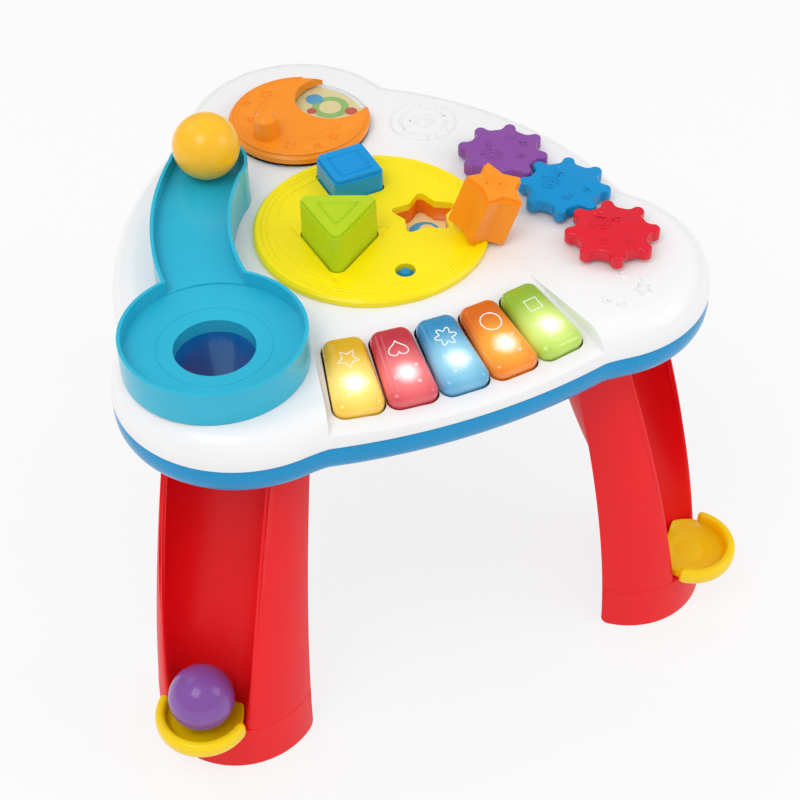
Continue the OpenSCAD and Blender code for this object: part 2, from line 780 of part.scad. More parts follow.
// arc of n + 1 points round [c, 0] from angle a to b
function arc(c, r, a, b, n) = [for (k = [0 : n]) let (t = a + (b - a) * k / n) [c + r * cos(t), r * sin(t)]];

// outer and inner line of the grooved leg at height z
function groove_out(z) =
    let (c = leg_s(z), r = leg_out(z), a = ridge_angle(z), s = c + r * cos(a), h = r * sin(a), b = groove_back(z),
        g = groove_centre(s, h, b), t = atan2(h, s - g))
    concat(arc(c, r, -92, -a, 5), arc(g, g - b, 360 - t, t, 11), arc(c, r, a, 92, 5));
function groove_in(z) =
    let (c = leg_s(z), r = leg_out(z), a = ridge_angle(z), s = c + r * cos(a), h = r * sin(a), b = groove_back(z),
        g = groove_centre(s, h, b), q = g - b + leg_wall, m = crossing(c, r - leg_wall, g, q),
        mo = atan2(m[1], m[0] - c), mg = atan2(m[1], m[0] - g))
    concat(arc(c, r - leg_wall, 92, mo, 5), arc(g, q, mg, 360 - mg, 11), arc(c, r - leg_wall, -mo, -92, 5));

// the same below the cup, where the nose is whole
function nose_line(z, d, turn) = let (c = leg_s(z), r = leg_out(z) - d, a = turn * ridge_angle(z))
    concat(arc(c, r, -turn * 92, -a, 5), arc(c, r, -a, a, 11), arc(c, r, a, turn * 92, 5));

function lift(points, z) = [for (p = points) [p[0], p[1], z]];

deck_z = cup_z - seat;
deck_in = deck_z - leg_wall;
deck_step = 0.1;

module leg(i) {
    at_leg(i) loft(concat(
        [concat(lift(nose_line(0, 0, 1), 0), lift(nose_line(0, leg_wall, -1), 0)),
         concat(lift(nose_line(deck_z, 0, 1), deck_z), lift(nose_line(deck_in, leg_wall, -1), deck_in))],
        [for (k = [0 : leg_rows]) let (z = deck_z + deck_step + (leg_h - deck_z - deck_step) * k / leg_rows,
            zi = k == 0 ? deck_in + deck_step : z)
            concat(lift(groove_out(z), z), lift(groove_in(z), zi))]));
}

module leg_left() { color("Red") leg(0); }
module leg_right() { color("Red") leg(1); }
module leg_back() { color("Red") leg(2); }

// plate on each leg's top, grooved like the leg, with two pegs for the tray's holes
module leg_plates() {
    ridge_s = splay_top + leg_r_top * cos(ridge_angle(leg_h));
    ridge_v = leg_r_top * sin(ridge_angle(leg_h));
    groove_c = groove_centre(ridge_s, ridge_v, groove_back(leg_h));
    color("Red") for (i = [0 : 2]) at_leg(i) translate([0, 0, leg_h]) {
        difference() {
            intersection() {
                translate([splay_top, 0, 0]) cylinder(r = leg_r_top, h = plate_h, $fn = 128);
                translate([groove_back(leg_h) - 2 * leg_wall, -100, 0]) cube([200, 200, plate_h]);
            }
            translate([groove_c, 0, -1]) cylinder(r = groove_c - groove_back(leg_h), h = plate_h + 2, $fn = 128);
        }
        for (s = [-1, 1]) translate([peg_s, s * peg_v, 1]) cylinder(r = peg_r, h = plate_h - 1 + peg_h);
    }
}

cup_ring_h = 14;
cup_ring_w = 7;
dish_h = 2.5;
arm_out = 6;
arm_from = 31;
arm_to = 47;

module cup(i) {
    arm_c = leg_s(cup_z + 4);
    arm_r = leg_out(cup_z + 4) + seat;
    at_leg(i) {
        translate([cup_reach, 0, cup_z]) {
            intersection() {
                difference() {
                    cylinder(r = cup_r, h = cup_ring_h, $fn = 96);
                    translate([0, 0, dish_h]) cylinder(r = cup_r - cup_ring_w, h = 30, $fn = 96);
                }
                translate([-4.5, -50, 0]) cube([60, 100, 50]);
            }
            intersection() {
                cylinder(r = cup_r - cup_ring_w + 0.5, h = dish_h, $fn = 96);
                translate([-20, -50, 0]) cube([60, 100, 50]);
            }
        }
        translate([arm_c, 0, cup_z + 4]) for (s = [-1, 1]) intersection() {
            difference() {
                cylinder(r = arm_r + arm_out, h = cup_ring_h - 4, $fn = 128);
                translate([0, 0, -1]) cylinder(r = arm_r, h = 30, $fn = 128);
            }
            linear_extrude(cup_ring_h - 4) polygon([[0, 0], for (a = [arm_from, arm_to]) 120 * [cos(a), s * sin(a)]]);
        }
    }
}

module cup_left() { color("Gold") cup(0); }
module cup_right() { color("Gold") cup(1); }
module cup_back() { color("Gold") cup(2); }

// ---- balls and blocks ----

module ball_yellow() {
    color("Orange") translate([ramp_start[0], ramp_start[1], ramp_z + ball_d / 2 + seat]) sphere(d = ball_d, $fn = 96);
}

module ball_purple() {
    color("MediumPurple") at_leg(0) translate([cup_reach, 0, cup_z + dish_h + ball_d / 2 + seat])
        sphere(d = ball_d, $fn = 96);
}

module block_square() {
    color("DodgerBlue") translate([0, 0, disc_z - square_depth + seat]) {
        linear_extrude(block_h - 3) square_form(0);
        translate([0, 0, block_h - 3.01]) linear_extrude(3.01) square_form(-1.5);
    }
}

module block_triangle() {
    color("YellowGreen") translate([0, 0, disc_z - triangle_depth + seat]) {
        linear_extrude(block_h - 3) triangle_form(0);
        translate([0, 0, block_h - 3.01]) linear_extrude(3.01) triangle_form(-1.5);
    }
}

lean = 18;
lean_turn = -31;
star_spin = 43.5;
star_foot = [70, -37];
star_lift = 0.8;

module block_star() {
    color("DarkOrange") translate([star_foot[0], star_foot[1], top_z + star_lift + star_r * sin(lean)])
        rotate([0, 0, lean_turn]) rotate([0, lean, 0]) rotate([0, 0, star_spin]) {
            linear_extrude(block_h - 3) star_flat(0);
            translate([0, 0, block_h - 3.01]) linear_extrude(3.01) star_flat(-1.5);
        }
}

place() top_shell();
place() base_tray();
place() ball_ramp();
place() drop_chute();
place() sorter_disc();
place() square_well();
place() triangle_well();
place() star_well();
place() star_card();
place() sorter_button();
place() button_cup();
place() button_spring();
place() moon_dial();
place() dial_window();
place() dial_clip();
place() picture_card();
place() gear_purple();
place() gear_blue();
place() gear_red();
place() clip_purple();
place() clip_blue();
place() clip_red();
place() key_yellow();
place() key_red();
place() key_blue();
place() key_orange();
place() key_green();
place() key_frame();
place() key_pins();
place() contact_strip();
place() key_lamps();
place() circuit_board();
place() speaker();
place() battery_box();
place() battery_cells();
place() battery_contacts();
place() battery_door();
place() door_screw();
place() switch_body();
place() power_switch();
place() case_screws();
place() leg_left();
place() leg_right();
place() leg_back();
place() leg_plates();
place() wires();
place() cup_left();
place() cup_right();
place() cup_back();
place() ball_yellow();
place() ball_purple();
place() block_square();
place() block_triangle();
place() block_star();
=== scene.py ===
import math
import bpy
from mathutils import Matrix, Vector


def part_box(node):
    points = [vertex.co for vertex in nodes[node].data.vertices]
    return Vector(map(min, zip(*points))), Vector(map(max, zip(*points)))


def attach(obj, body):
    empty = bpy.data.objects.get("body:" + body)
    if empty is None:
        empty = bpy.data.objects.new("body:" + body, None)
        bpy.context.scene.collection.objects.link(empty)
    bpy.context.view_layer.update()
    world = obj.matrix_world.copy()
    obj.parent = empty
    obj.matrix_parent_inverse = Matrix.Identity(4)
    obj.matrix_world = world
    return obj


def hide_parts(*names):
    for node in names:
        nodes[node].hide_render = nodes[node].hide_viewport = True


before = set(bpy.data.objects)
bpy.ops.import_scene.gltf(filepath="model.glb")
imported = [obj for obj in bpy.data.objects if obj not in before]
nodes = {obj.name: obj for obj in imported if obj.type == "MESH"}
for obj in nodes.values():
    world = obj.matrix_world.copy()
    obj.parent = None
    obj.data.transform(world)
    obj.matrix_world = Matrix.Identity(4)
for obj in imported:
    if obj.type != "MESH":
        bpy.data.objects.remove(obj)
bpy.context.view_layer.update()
mm = 0.001
discLow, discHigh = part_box("sorter_disc")
discMiddle = (discLow + discHigh) / 2      # every plan place below is measured from the yellow disc
topHeight = discLow.z / mm - 0.3           # the white play surface


def spot(x, y, z):
    # a place in millimetres from the disc's centre, z from the floor
    return Vector((discMiddle.x + x * mm, discMiddle.y + y * mm, z * mm))


# materials

def linear(hexColour):
    parts = [int(hexColour[i:i + 2], 16) / 255 for i in (1, 3, 5)]
    return [c / 12.92 if c <= 0.04045 else ((c + 0.055) / 1.055) ** 2.4 for c in parts] + [1.0]


def addNode(tree, kind, values=None, links=None, **settings):
    node = tree.nodes.new(kind)
    for name, value in settings.items():
        setattr(node, name, value)
    for socket, value in (values or {}).items():
        node.inputs[socket].default_value = value
    for socket, source in (links or {}).items():
        tree.links.new(source, node.inputs[socket])
    return node


def newMaterial(name):
    material = bpy.data.materials.new(name)
    material.use_nodes = True
    material.node_tree.nodes.clear()
    return material


def closeMaterial(material, shader):
    addNode(material.node_tree, "ShaderNodeOutputMaterial", links={"Surface": shader.outputs["BSDF"]})
    return material


# injection-moulded plastic: a fine spark-eroded grain and a slow waviness from cooling,
# which breaks up the highlights a little. grain is its width in mm
def mouldedPlastic(name, colour, rough, grain=0.9, depth=0.02, coat=0.0, soft=0.0, drift=0.03):
    material = newMaterial(name)
    tree = material.node_tree
    place = addNode(tree, "ShaderNodeTexCoord").outputs["Object"]
    fine = addNode(tree, "ShaderNodeTexNoise", {"Scale": 1 / (grain * mm), "Detail": 3.0}, {"Vector": place})
    slow = addNode(tree, "ShaderNodeTexNoise", {"Scale": 1 / (45 * mm), "Detail": 2.0}, {"Vector": place})
    r, g, b = linear(colour)[:3]
    ramp = addNode(tree, "ShaderNodeValToRGB", links={"Fac": slow.outputs["Fac"]})
    ramp.color_ramp.elements[0].position = 0.3
    ramp.color_ramp.elements[1].position = 0.7
    ramp.color_ramp.elements[0].color = [c * (1 - drift) for c in (r, g, b)] + [1]
    ramp.color_ramp.elements[1].color = [min(1, c * (1 + drift)) for c in (r, g, b)] + [1]
    roughMap = addNode(tree, "ShaderNodeMapRange", {"From Min": 0.3, "From Max": 0.7, "To Min": rough * 0.85,
                                                    "To Max": rough * 1.2}, {"Value": fine.outputs["Fac"]})
    bump = addNode(tree, "ShaderNodeBump", {"Strength": 0.35, "Distance": depth * mm}, {"Height": fine.outputs["Fac"]})
    shader = addNode(tree, "ShaderNodeBsdfPrincipled",
                     {"IOR": 1.52, "Specular IOR Level": 0.3, "Coat Weight": coat, "Coat Roughness": 0.06,
                      "Subsurface Weight": soft, "Subsurface Radius": (0.006, 0.005, 0.004), "Subsurface Scale": 1.0},
                     {"Base Color": ramp.outputs["Color"], "Roughness": roughMap.outputs["Result"],
                      "Normal": bump.outputs["Normal"]})
    return closeMaterial(material, shader)


# translucent polystyrene key cap with a lamp below its front half. The lamp's light is painted on
# the cap: a glow that pools at the lamp, with a painted white hot spot, and fades towards the back
def litKeyPlastic(name, colour, glowColour, lamp):
    material = newMaterial(name)
    tree = material.node_tree
    place = addNode(tree, "ShaderNodeTexCoord").outputs["Object"]
    near = addNode(tree, "ShaderNodeVectorMath", links={0: place}, operation="DISTANCE")
    near.inputs[1].default_value = lamp
    glow = addNode(tree, "ShaderNodeMapRange", {"From Min": 0.006, "From Max": 0.034, "To Min": 1.0, "To Max": 0.0},
                   {"Value": near.outputs["Value"]}, interpolation_type="SMOOTHSTEP")
    spark = addNode(tree, "ShaderNodeMapRange", {"From Min": 0.002, "From Max": 0.013, "To Min": 1.0, "To Max": 0.0},
                    {"Value": near.outputs["Value"]}, interpolation_type="SMOOTHSTEP")
    # painted glow: near the lamp the cap's colour turns to its paler glow colour
    tint = addNode(tree, "ShaderNodeMix", links={"Factor": glow.outputs["Result"]}, data_type="RGBA")
    tint.inputs[6].default_value = linear(colour)
    tint.inputs[7].default_value = linear(glowColour)
    # painted hot spot: white at the middle of the glow
    hot = addNode(tree, "ShaderNodeMix", links={"Factor": spark.outputs["Result"], 6: tint.outputs[2]},
                  data_type="RGBA")
    hot.inputs[7].default_value = (1, 1, 1, 1)
    # the painted glow and hot spot are also emitted, so the cap itself gives the lamp's light
    pool = addNode(tree, "ShaderNodeMath", {1: 0.3}, {0: glow.outputs["Result"]}, operation="MULTIPLY")
    shine = addNode(tree, "ShaderNodeMath", {1: 0.45}, {0: spark.outputs["Result"], 2: pool.outputs["Value"]},
                    operation="MULTIPLY_ADD")
    shader = addNode(tree, "ShaderNodeBsdfPrincipled",
                     {"Roughness": 0.12, "IOR": 1.55, "Transmission Weight": 0.25, "Subsurface Weight": 0.5,
                      "Subsurface Radius": (0.012, 0.012, 0.012), "Coat Weight": 0.5, "Coat Roughness": 0.04},
                     {"Base Color": hot.outputs[2], "Emission Color": hot.outputs[2],
                      "Emission Strength": shine.outputs["Value"]})
    return closeMaterial(material, shader)


# clear polycarbonate, polished: sharp reflections and hardly any colour
def clearPlastic(name):
    material = newMaterial(name)
    tree = material.node_tree
    place = addNode(tree, "ShaderNodeTexCoord").outputs["Object"]
    slow = addNode(tree, "ShaderNodeTexNoise", {"Scale": 1 / (12 * mm)}, {"Vector": place})
    bump = addNode(tree, "ShaderNodeBump", {"Strength": 0.1, "Distance": 0.02 * mm}, {"Height": slow.outputs["Fac"]})
    shader = addNode(tree, "ShaderNodeBsdfPrincipled",
                     {"Base Color": (0.98, 0.99, 1, 1), "Roughness": 0.04, "IOR": 1.3, "Transmission Weight": 1.0},
                     {"Normal": bump.outputs["Normal"]})
    return closeMaterial(material, shader)


# zinc-plated steel: bright, slightly blue, with short brush marks
def platedSteel(name):
    material = newMaterial(name)
    tree = material.node_tree
    place = addNode(tree, "ShaderNodeTexCoord").outputs["Object"]
    marks = addNode(tree, "ShaderNodeTexNoise", {"Scale": 1 / (0.6 * mm), "Detail": 4.0}, {"Vector": place})
    rough = addNode(tree, "ShaderNodeMapRange", {"To Min": 0.2, "To Max": 0.4}, {"Value": marks.outputs["Fac"]})
    shader = addNode(tree, "ShaderNodeBsdfPrincipled", {"Base Color": linear("#C6CACF"), "Metallic": 1.0},
                     {"Roughness": rough.outputs["Result"]})
    return closeMaterial(material, shader)


mouldedFinishes = {
    "shellWhiteAbs": {"colour": "#F1F1F2", "rough": 0.24, "drift": 0.008, "coat": 0.15},
    "rimBlueAbs": {"colour": "#0090C9", "rough": 0.26, "coat": 0.1},
    "rampTealAbs": {"colour": "#27B4D3", "rough": 0.24, "coat": 0.25},
    "chuteBlueAbs": {"colour": "#0F74BC", "rough": 0.2, "coat": 0.3},
    "discYellowAbs": {"colour": "#FFE800", "rough": 0.3, "drift": 0.015, "coat": 0.1},
    "dialOrangeAbs": {"colour": "#FB941E", "rough": 0.3, "coat": 0.15},
    "wellBlueAbs": {"colour": "#0A5CA8", "rough": 0.3},
    "wellGreenAbs": {"colour": "#8DB512", "rough": 0.3},
    "wellOrangeAbs": {"colour": "#F07A12", "rough": 0.3},
    # the gears come from a polished mould, so their highlights are small and bright
    "gearPurpleAbs": {"colour": "#8C4EA2", "rough": 0.22, "coat": 0.25},
    "gearBlueAbs": {"colour": "#0090D0", "rough": 0.22, "coat": 0.25},
    "gearRedAbs": {"colour": "#E11B30", "rough": 0.22, "coat": 0.25},
    "blockBluePolypropylene": {"colour": "#0895DA", "rough": 0.28, "soft": 0.05},
    "blockGreenPolypropylene": {"colour": "#B6D31A", "rough": 0.28, "soft": 0.05},
    "blockOrangePolypropylene": {"colour": "#FB951C", "rough": 0.28, "soft": 0.05},
    # a little light goes into the balls
    "ballAmberPolyethylene": {"colour": "#FFBE2A", "rough": 0.26, "soft": 0.1, "coat": 0.2},
    "ballPurplePolyethylene": {"colour": "#8653A6", "rough": 0.24, "soft": 0.1, "coat": 0.3},
    # the legs are waxy, with a coarser grain and broad highlights
    "legRedPolypropylene": {"colour": "#F2121B", "rough": 0.4, "grain": 1.2, "drift": 0.02},
    "cupYellowPolypropylene": {"colour": "#FFD600", "rough": 0.26, "coat": 0.2, "soft": 0.05},
    "framePalePolystyrene": {"colour": "#C9CACC", "rough": 0.5},
    "speakerBlackAbs": {"colour": "#2B2B2E", "rough": 0.55},
    "boardGreenEpoxy": {"colour": "#1D6A39", "rough": 0.35, "grain": 0.5},
    # the rubber domes hardly shine
    "domeGreyRubber": {"colour": "#58585B", "rough": 0.75, "grain": 0.4},
    "cellWrapVinyl": {"colour": "#5F6B78", "rough": 0.25},
    "lampWhiteAcrylic": {"colour": "#F2F2F0", "rough": 0.15},
    "cardCreamPrint": {"colour": "#F4E2A4", "rough": 0.55, "grain": 0.3, "drift": 0.01},
    "cardGreenPrint": {"colour": "#9CCB6B", "rough": 0.5, "grain": 0.3},
    "cardBluePrint": {"colour": "#4FA9DC", "rough": 0.5, "grain": 0.3},
    "cardRedPrint": {"colour": "#D9503A", "rough": 0.5, "grain": 0.3},
    "keyWhiteInk": {"colour": "#FFFFFF", "rough": 0.35, "grain": 0.3, "drift": 0.0},
}
finish = {name: mouldedPlastic(name, **look) for name, look in mouldedFinishes.items()}
finish["windowClearPolycarbonate"] = clearPlastic("windowClearPolycarbonate")
finish["screwPlatedSteel"] = platedSteel("screwPlatedSteel")
print("materials made", len(finish))


# small tools

def deselect():
    bpy.ops.object.select_all(action="DESELECT")


def pick(piece):
    deselect()
    piece.select_set(True)
    bpy.context.view_layer.objects.active = piece


def finishPiece(piece, body, material, angle=35, replaced=()):
    pick(piece)
    bpy.ops.object.transform_apply(location=True, rotation=True, scale=True)
    bpy.ops.object.shade_smooth_by_angle(angle=math.radians(angle))
    piece.data.materials.clear()
    piece.data.materials.append(finish[material] if isinstance(material, str) else material)
    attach(piece, body)
    if replaced:
        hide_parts(*replaced)


def applyAll(piece):
    pick(piece)
    for modifier in list(piece.modifiers):
        bpy.ops.object.modifier_apply(modifier=modifier.name)


def cutAway(piece, *cutters):
    for cutter in cutters:
        cut = piece.modifiers.new("cut", "BOOLEAN")
        cut.operation = "DIFFERENCE"
        cut.solver = "EXACT"
        cut.object = cutter
    applyAll(piece)
    for cutter in cutters:
        bpy.data.objects.remove(cutter)


def softEdges(piece, width, segments=3, angle=35):
    bevel = piece.modifiers.new("edge", "BEVEL")
    bevel.width = width * mm
    bevel.segments = segments
    bevel.limit_method = "ANGLE"
    bevel.angle_limit = math.radians(angle)
    bevel.use_clamp_overlap = True


# a CAD node keeps its mesh: it gets its finish and, through modifiers, the mould's soft edges
def dressNode(name, material, edge=0.0, segments=3, angle=35):
    piece = nodes[name]
    piece.data.materials.clear()
    piece.data.materials.append(finish[material])
    pick(piece)
    bpy.ops.object.shade_smooth()
    weld = piece.modifiers.new("weld", "WELD")
    weld.merge_threshold = 0.002 * mm
    if edge:
        softEdges(piece, edge, segments, angle)
    weighted = piece.modifiers.new("normals", "WEIGHTED_NORMAL")
    weighted.keep_sharp = True


def rod(name, x, y, z0, z1, radius, sides=64):
    deselect()
    bpy.ops.mesh.primitive_cylinder_add(vertices=sides, radius=radius * mm, depth=(z1 - z0) * mm,
                                        location=spot(x, y, (z0 + z1) / 2))
    piece = bpy.context.object
    piece.name = name
    bpy.ops.object.transform_apply(location=True)
    return piece


# a solid from equal rings of points, capped at both ends
def ringSolid(name, rings):
    count = len(rings[0])
    faces = [[i * count + j, i * count + (j + 1) % count, (i + 1) * count + (j + 1) % count, (i + 1) * count + j]
             for i in range(len(rings) - 1) for j in range(count)]
    faces.append(list(range(count))[::-1])
    faces.append([(len(rings) - 1) * count + j for j in range(count)])
    mesh = bpy.data.meshes.new(name)
    mesh.from_pydata([p for ring in rings for p in ring], [], faces)
    piece = bpy.data.objects.new(name, mesh)
    bpy.context.collection.objects.link(piece)
    return piece


# a raised moulding line or a printed line: a thin round bead that follows the points
def bead(name, points, radius, body, material, slot, closed=True, matrix=None):
    curve = bpy.data.curves.new(name, "CURVE")
    curve.dimensions = "3D"
    curve.bevel_depth = radius * mm
    curve.bevel_resolution = 2
    spline = curve.splines.new("POLY")
    spline.points.add(len(points) - 1)
    for target, point in zip(spline.points, points):
        place = matrix @ Vector(point) if matrix else spot(*point)
        target.co = (*place, 1)
    spline.use_cyclic_u = closed
    piece = bpy.data.objects.new(name, curve)
    bpy.context.collection.objects.link(piece)
    pick(piece)
    bpy.ops.object.convert(target="MESH")
    piece = bpy.context.object
    finishPiece(piece, body, material, 60)


def around(place, angle, reach):
    # the plan point at this reach and angle (degrees) from a place
    return place[0] + reach * math.cos(math.radians(angle)), place[1] + reach * math.sin(math.radians(angle))


def circlePoints(x, y, z, radius, count=48):
    return [(x + radius * math.cos(2 * math.pi * k / count), y + radius * math.sin(2 * math.pi * k / count), z)
            for k in range(count)]


def starPoints(x, y, z, radius, waist=0.55, turn=0.0):
    return [(*around((x, y), 36 * k + turn, radius if k % 2 == 0 else radius * waist), z) for k in range(10)]


def spiralPoints(x, y, z, inner, outer, turns, start=0.0):
    count = int(24 * turns)
    return [(x + (inner + (outer - inner) * k / count) * math.cos(2 * math.pi * k / 24 + math.radians(start)),
             y + (inner + (outer - inner) * k / count) * math.sin(2 * math.pi * k / 24 + math.radians(start)), z)
            for k in range(count + 1)]


# play top and rim

table = {"lobeReach": 160, "lobeRadius": 91, "lobeAngles": (-147, -33, 90), "frontReach": 188, "frontCurve": 460,
         "sideReach": 191, "sideCurve": 273, "sideAngles": (30, 150), "notchFillet": 7,
         "rimHeight": 305, "lip": 2, "hollowBelow": 5, "edgeRound": 20, "wall": 2.5, "outlinePoints": 540}


def farCross(ux, uy, cx, cy, radius):
    # how far from the disc's centre the ray leaves this circle
    along = ux * cx + uy * cy
    root = along * along - (cx * cx + cy * cy) + radius * radius
    return along + math.sqrt(root) if root > 0 else 0


def tableReach(angle, grow):
    ux, uy = math.cos(angle), math.sin(angle)
    lobes = max(farCross(ux, uy, table["lobeReach"] * math.cos(math.radians(a)),
                         table["lobeReach"] * math.sin(math.radians(a)), table["lobeRadius"] + grow)
                for a in table["lobeAngles"])
    core = farCross(ux, uy, 0, table["frontCurve"] - table["frontReach"], table["frontCurve"] + grow)
    for side in table["sideAngles"]:
        middle = table["sideReach"] - table["sideCurve"]
        core = min(core, farCross(ux, uy, middle * math.cos(math.radians(side)),
                                  middle * math.sin(math.radians(side)), table["sideCurve"] + grow))
    blend = max(0, table["notchFillet"] - abs(lobes - core))
    return max(lobes, core) + blend * blend / (4 * table["notchFillet"])


def tableRing(grow, z):
    ring = []
    for k in range(table["outlinePoints"]):
        angle = 2 * math.pi * k / table["outlinePoints"]
        reach = tableReach(angle, grow)
        ring.append(spot(reach * math.cos(angle), reach * math.sin(angle), z))
    return ring


def edgeRings(grow, foot, top, steps=10):
    rise = top - table["rimHeight"] - table["lip"]
    rings = [tableRing(grow, foot)]
    for k in range(steps + 1):
        a = math.radians(90 * k / steps)
        rings.append(tableRing(grow - table["edgeRound"] * (1 - math.cos(a)), top - rise * (1 - math.sin(a))))
    return rings


keyFan = {"centre": 276, "back": 386, "length": 64, "step": 4.92, "backWidth": 30, "height": 11, "sink": 4,
          "slot": 1.2, "corner": 8, "slotFrom": -14, "slotTo": 20, "bayHalf": 12.9, "bayBack": 17, "bayFront": 8,
          "cutEnd": -400, "cutTop": 400}
keyFan["frontWidth"] = keyFan["backWidth"] + 2 * keyFan["length"] * math.sin(math.radians(keyFan["step"] / 2))
bayBackY = keyFan["centre"] - keyFan["back"] + keyFan["bayBack"]
bayFall = (topHeight - table["rimHeight"] - keyFan["bayFront"]) / (bayBackY + table["frontReach"])


def bayFloor(y):
    return topHeight - bayFall * (bayBackY - y)


keyHeight = bayFloor(keyFan["centre"] - keyFan["back"])
keyTilt = math.atan((keyHeight - bayFloor(keyFan["centre"] - keyFan["back"] - keyFan["length"])) / keyFan["length"])


def keyMatrix(i):
    # x runs along the key to its front end, z is square to it
    turn = math.radians(-90 + (i - 2) * keyFan["step"])
    return (Matrix.Translation(spot(0, keyFan["centre"], keyHeight)) @ Matrix.Rotation(turn, 4, "Z")
            @ Matrix.Translation((keyFan["back"] * mm, 0, 0)) @ Matrix.Rotation(keyTilt, 4, "Y") @ Matrix.Scale(mm, 4))


def keyRing(grow, z, steps=8):
    corner = keyFan["corner"]
    points = []
    for x, half, start in ((keyFan["length"] - corner, keyFan["frontWidth"] / 2 - corner, 0),
                           (corner, keyFan["backWidth"] / 2 - corner, 90),
                           (corner, -keyFan["backWidth"] / 2 + corner, 180),
                           (keyFan["length"] - corner, -keyFan["frontWidth"] / 2 + corner, 270)):
        for k in range(steps + 1):
            a = math.radians(start + 90 * k / steps)
            points.append((x + (corner + grow) * math.cos(a), half + (corner + grow) * math.sin(a), z))
    return points


def bayWedge(name, grow):
    half = math.tan(math.radians(keyFan["bayHalf"]))
    rings = []
    for y in (bayBackY + grow, keyFan["cutEnd"]):
        width = (keyFan["centre"] - y) * half + grow / math.cos(math.radians(keyFan["bayHalf"]))
        low, top = bayFloor(y) - grow, keyFan["cutTop"]
        rings.append([spot(-width, y, low), spot(width, y, low), spot(width, y, top), spot(-width, y, top)])
    return ringSolid(name, rings)


def keySlots():
    made = []
    for i in range(5):
        place = keyMatrix(i)
        made.append(ringSolid("slot", [[place @ Vector(p) for p in keyRing(keyFan["slot"], z)]
                                       for z in (keyFan["slotFrom"], keyFan["slotTo"])]))
    return made


opening = {"hole": 31.5, "trayHole": 31.4, "holeAngle": -150, "holeReach": 175, "discSeat": 82, "from": 200, "to": 400,
           "edge": 3.2}
playTop = ringSolid("play_top", edgeRings(0, table["rimHeight"], topHeight))
hollow = ringSolid("hollow", edgeRings(-table["wall"], table["rimHeight"] - table["hollowBelow"],
                                       topHeight - table["wall"]))
cutAway(hollow, bayWedge("bay", table["wall"]))
holePlace = around((0, 0), opening["holeAngle"], opening["holeReach"])
cutAway(playTop, bayWedge("bay", 0), hollow)
cutAway(playTop, rod("hole", *holePlace, opening["from"], opening["to"], opening["hole"]),
        rod("seat", 0, 0, opening["from"], opening["to"], opening["discSeat"], 128), *keySlots())
softEdges(playTop, opening["edge"], 4, 30)
applyAll(playTop)
finishPiece(playTop, "table", "shellWhiteAbs", 30, ["top_shell"])

rim = {"lower": [(-16, 281), (-9, 281.4), (-5, 283), (-2.2, 286), (-0.6, 290), (0, 295), (-0.2, 301), (-1.4, 304.99)],
       "hollow": [(-18, 284), (-8, 287), (-3.5, 292), (-3.5, 310)], "postAngles": (-5, 62, 118, 185), "postReach": 176,
       "frontPosts": [(-118, -150), (118, -150)], "screwHole": 3.4, "floorFrom": 275, "floorTo": 287,
       "soundAt": (48, 30), "soundReach": 15, "soundHole": 1.6, "soundFrom": 278,
       "switchHalf": 1.9, "switchLength": 15.6, "switchFrom": 270, "switchTo": 290,
       "doorBelow": Vector((2.3, 2.3, 3)), "doorAbove": Vector((2.3, 2.3, 6))}
blueRim = ringSolid("blue_rim", [tableRing(grow, z) for grow, z in rim["lower"]])
rimHollow = ringSolid("hollow", [tableRing(grow, z) for grow, z in rim["hollow"]])


def boxCutter(low, high, spare=0.3):
    deselect()
    bpy.ops.mesh.primitive_cube_add(size=1, location=(low + high) / 2)
    piece = bpy.context.object
    piece.scale = (high - low) + Vector((2, 2, 2)) * spare * mm
    bpy.ops.object.transform_apply(location=True, rotation=True, scale=True)
    return piece


doorLow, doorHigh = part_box("battery_door")
switchLow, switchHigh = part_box("power_switch")
switchMiddle = (switchLow.y + switchHigh.y) / 2
cutAway(blueRim, rimHollow, rod("hole", *holePlace, opening["from"], opening["to"], opening["trayHole"]),
        boxCutter(doorLow - rim["doorBelow"] * mm, doorHigh + rim["doorAbove"] * mm),
        boxCutter(Vector((switchLow.x, switchMiddle - rim["switchHalf"] * mm, rim["switchFrom"] * mm)),
                  Vector((switchLow.x + rim["switchLength"] * mm, switchMiddle + rim["switchHalf"] * mm,
                          rim["switchTo"] * mm)), 0))
for angle in range(0, 360, 30):
    cutAway(blueRim, rod("sound", *around(rim["soundAt"], angle, rim["soundReach"]), rim["soundFrom"], rim["floorTo"],
                         rim["soundHole"], 20))
for x, y in [around((0, 0), a, rim["postReach"]) for a in rim["postAngles"]] + rim["frontPosts"]:
    cutAway(blueRim, rod("screw", x, y, rim["floorFrom"], rim["floorTo"], rim["screwHole"], 24))
finishPiece(blueRim, "table", "rimBlueAbs", 40, ["base_tray"])
print("play top and rim made")


# keys

# each key's own colour, then the colour of the painted lamp glow on it
keyLook = {"key_yellow": ("#F6C512", "#FFE98A"), "key_red": ("#D9374B", "#F28A8C"), "key_blue": ("#3BA3D8", "#A6E0F5"),
           "key_orange": ("#F07A08", "#FFB648"), "key_green": ("#A9CF3A", "#DDEE8C")}
keyCap = {"roundness": 6.5, "crown": 0.7, "steps": 7, "chamfer": 1.2, "skirt": 0.6,
          "crownRings": ((-7.2, 0.5), (-7.8, 0)), "lamp": (43, 0, 6), "armAt": (-1, 0, -8), "armSize": (18, 8, 4),
          "printAt": 22, "printInk": 0.42, "starInk": 0.28, "stars": ((45, -8, 2.0), (52, 6, 1.5), (38, 8, 1.3))}


def keyRings():
    # straight skirt, a rounded shoulder and a slightly crowned top
    side = keyFan["height"] - keyCap["roundness"]
    rings = [(-keyCap["chamfer"], -keyFan["sink"]), (0, keyCap["chamfer"] - keyFan["sink"]),
             (0, side * keyCap["skirt"])]
    for k in range(keyCap["steps"] + 1):
        a = math.radians(90 * k / keyCap["steps"])
        rings.append((-keyCap["roundness"] * (1 - math.cos(a)),
                      side + keyCap["roundness"] * math.sin(a) - keyCap["crown"]))
    rings += [(grow, keyFan["height"] - drop * keyCap["crown"]) for grow, drop in keyCap["crownRings"]]
    return rings


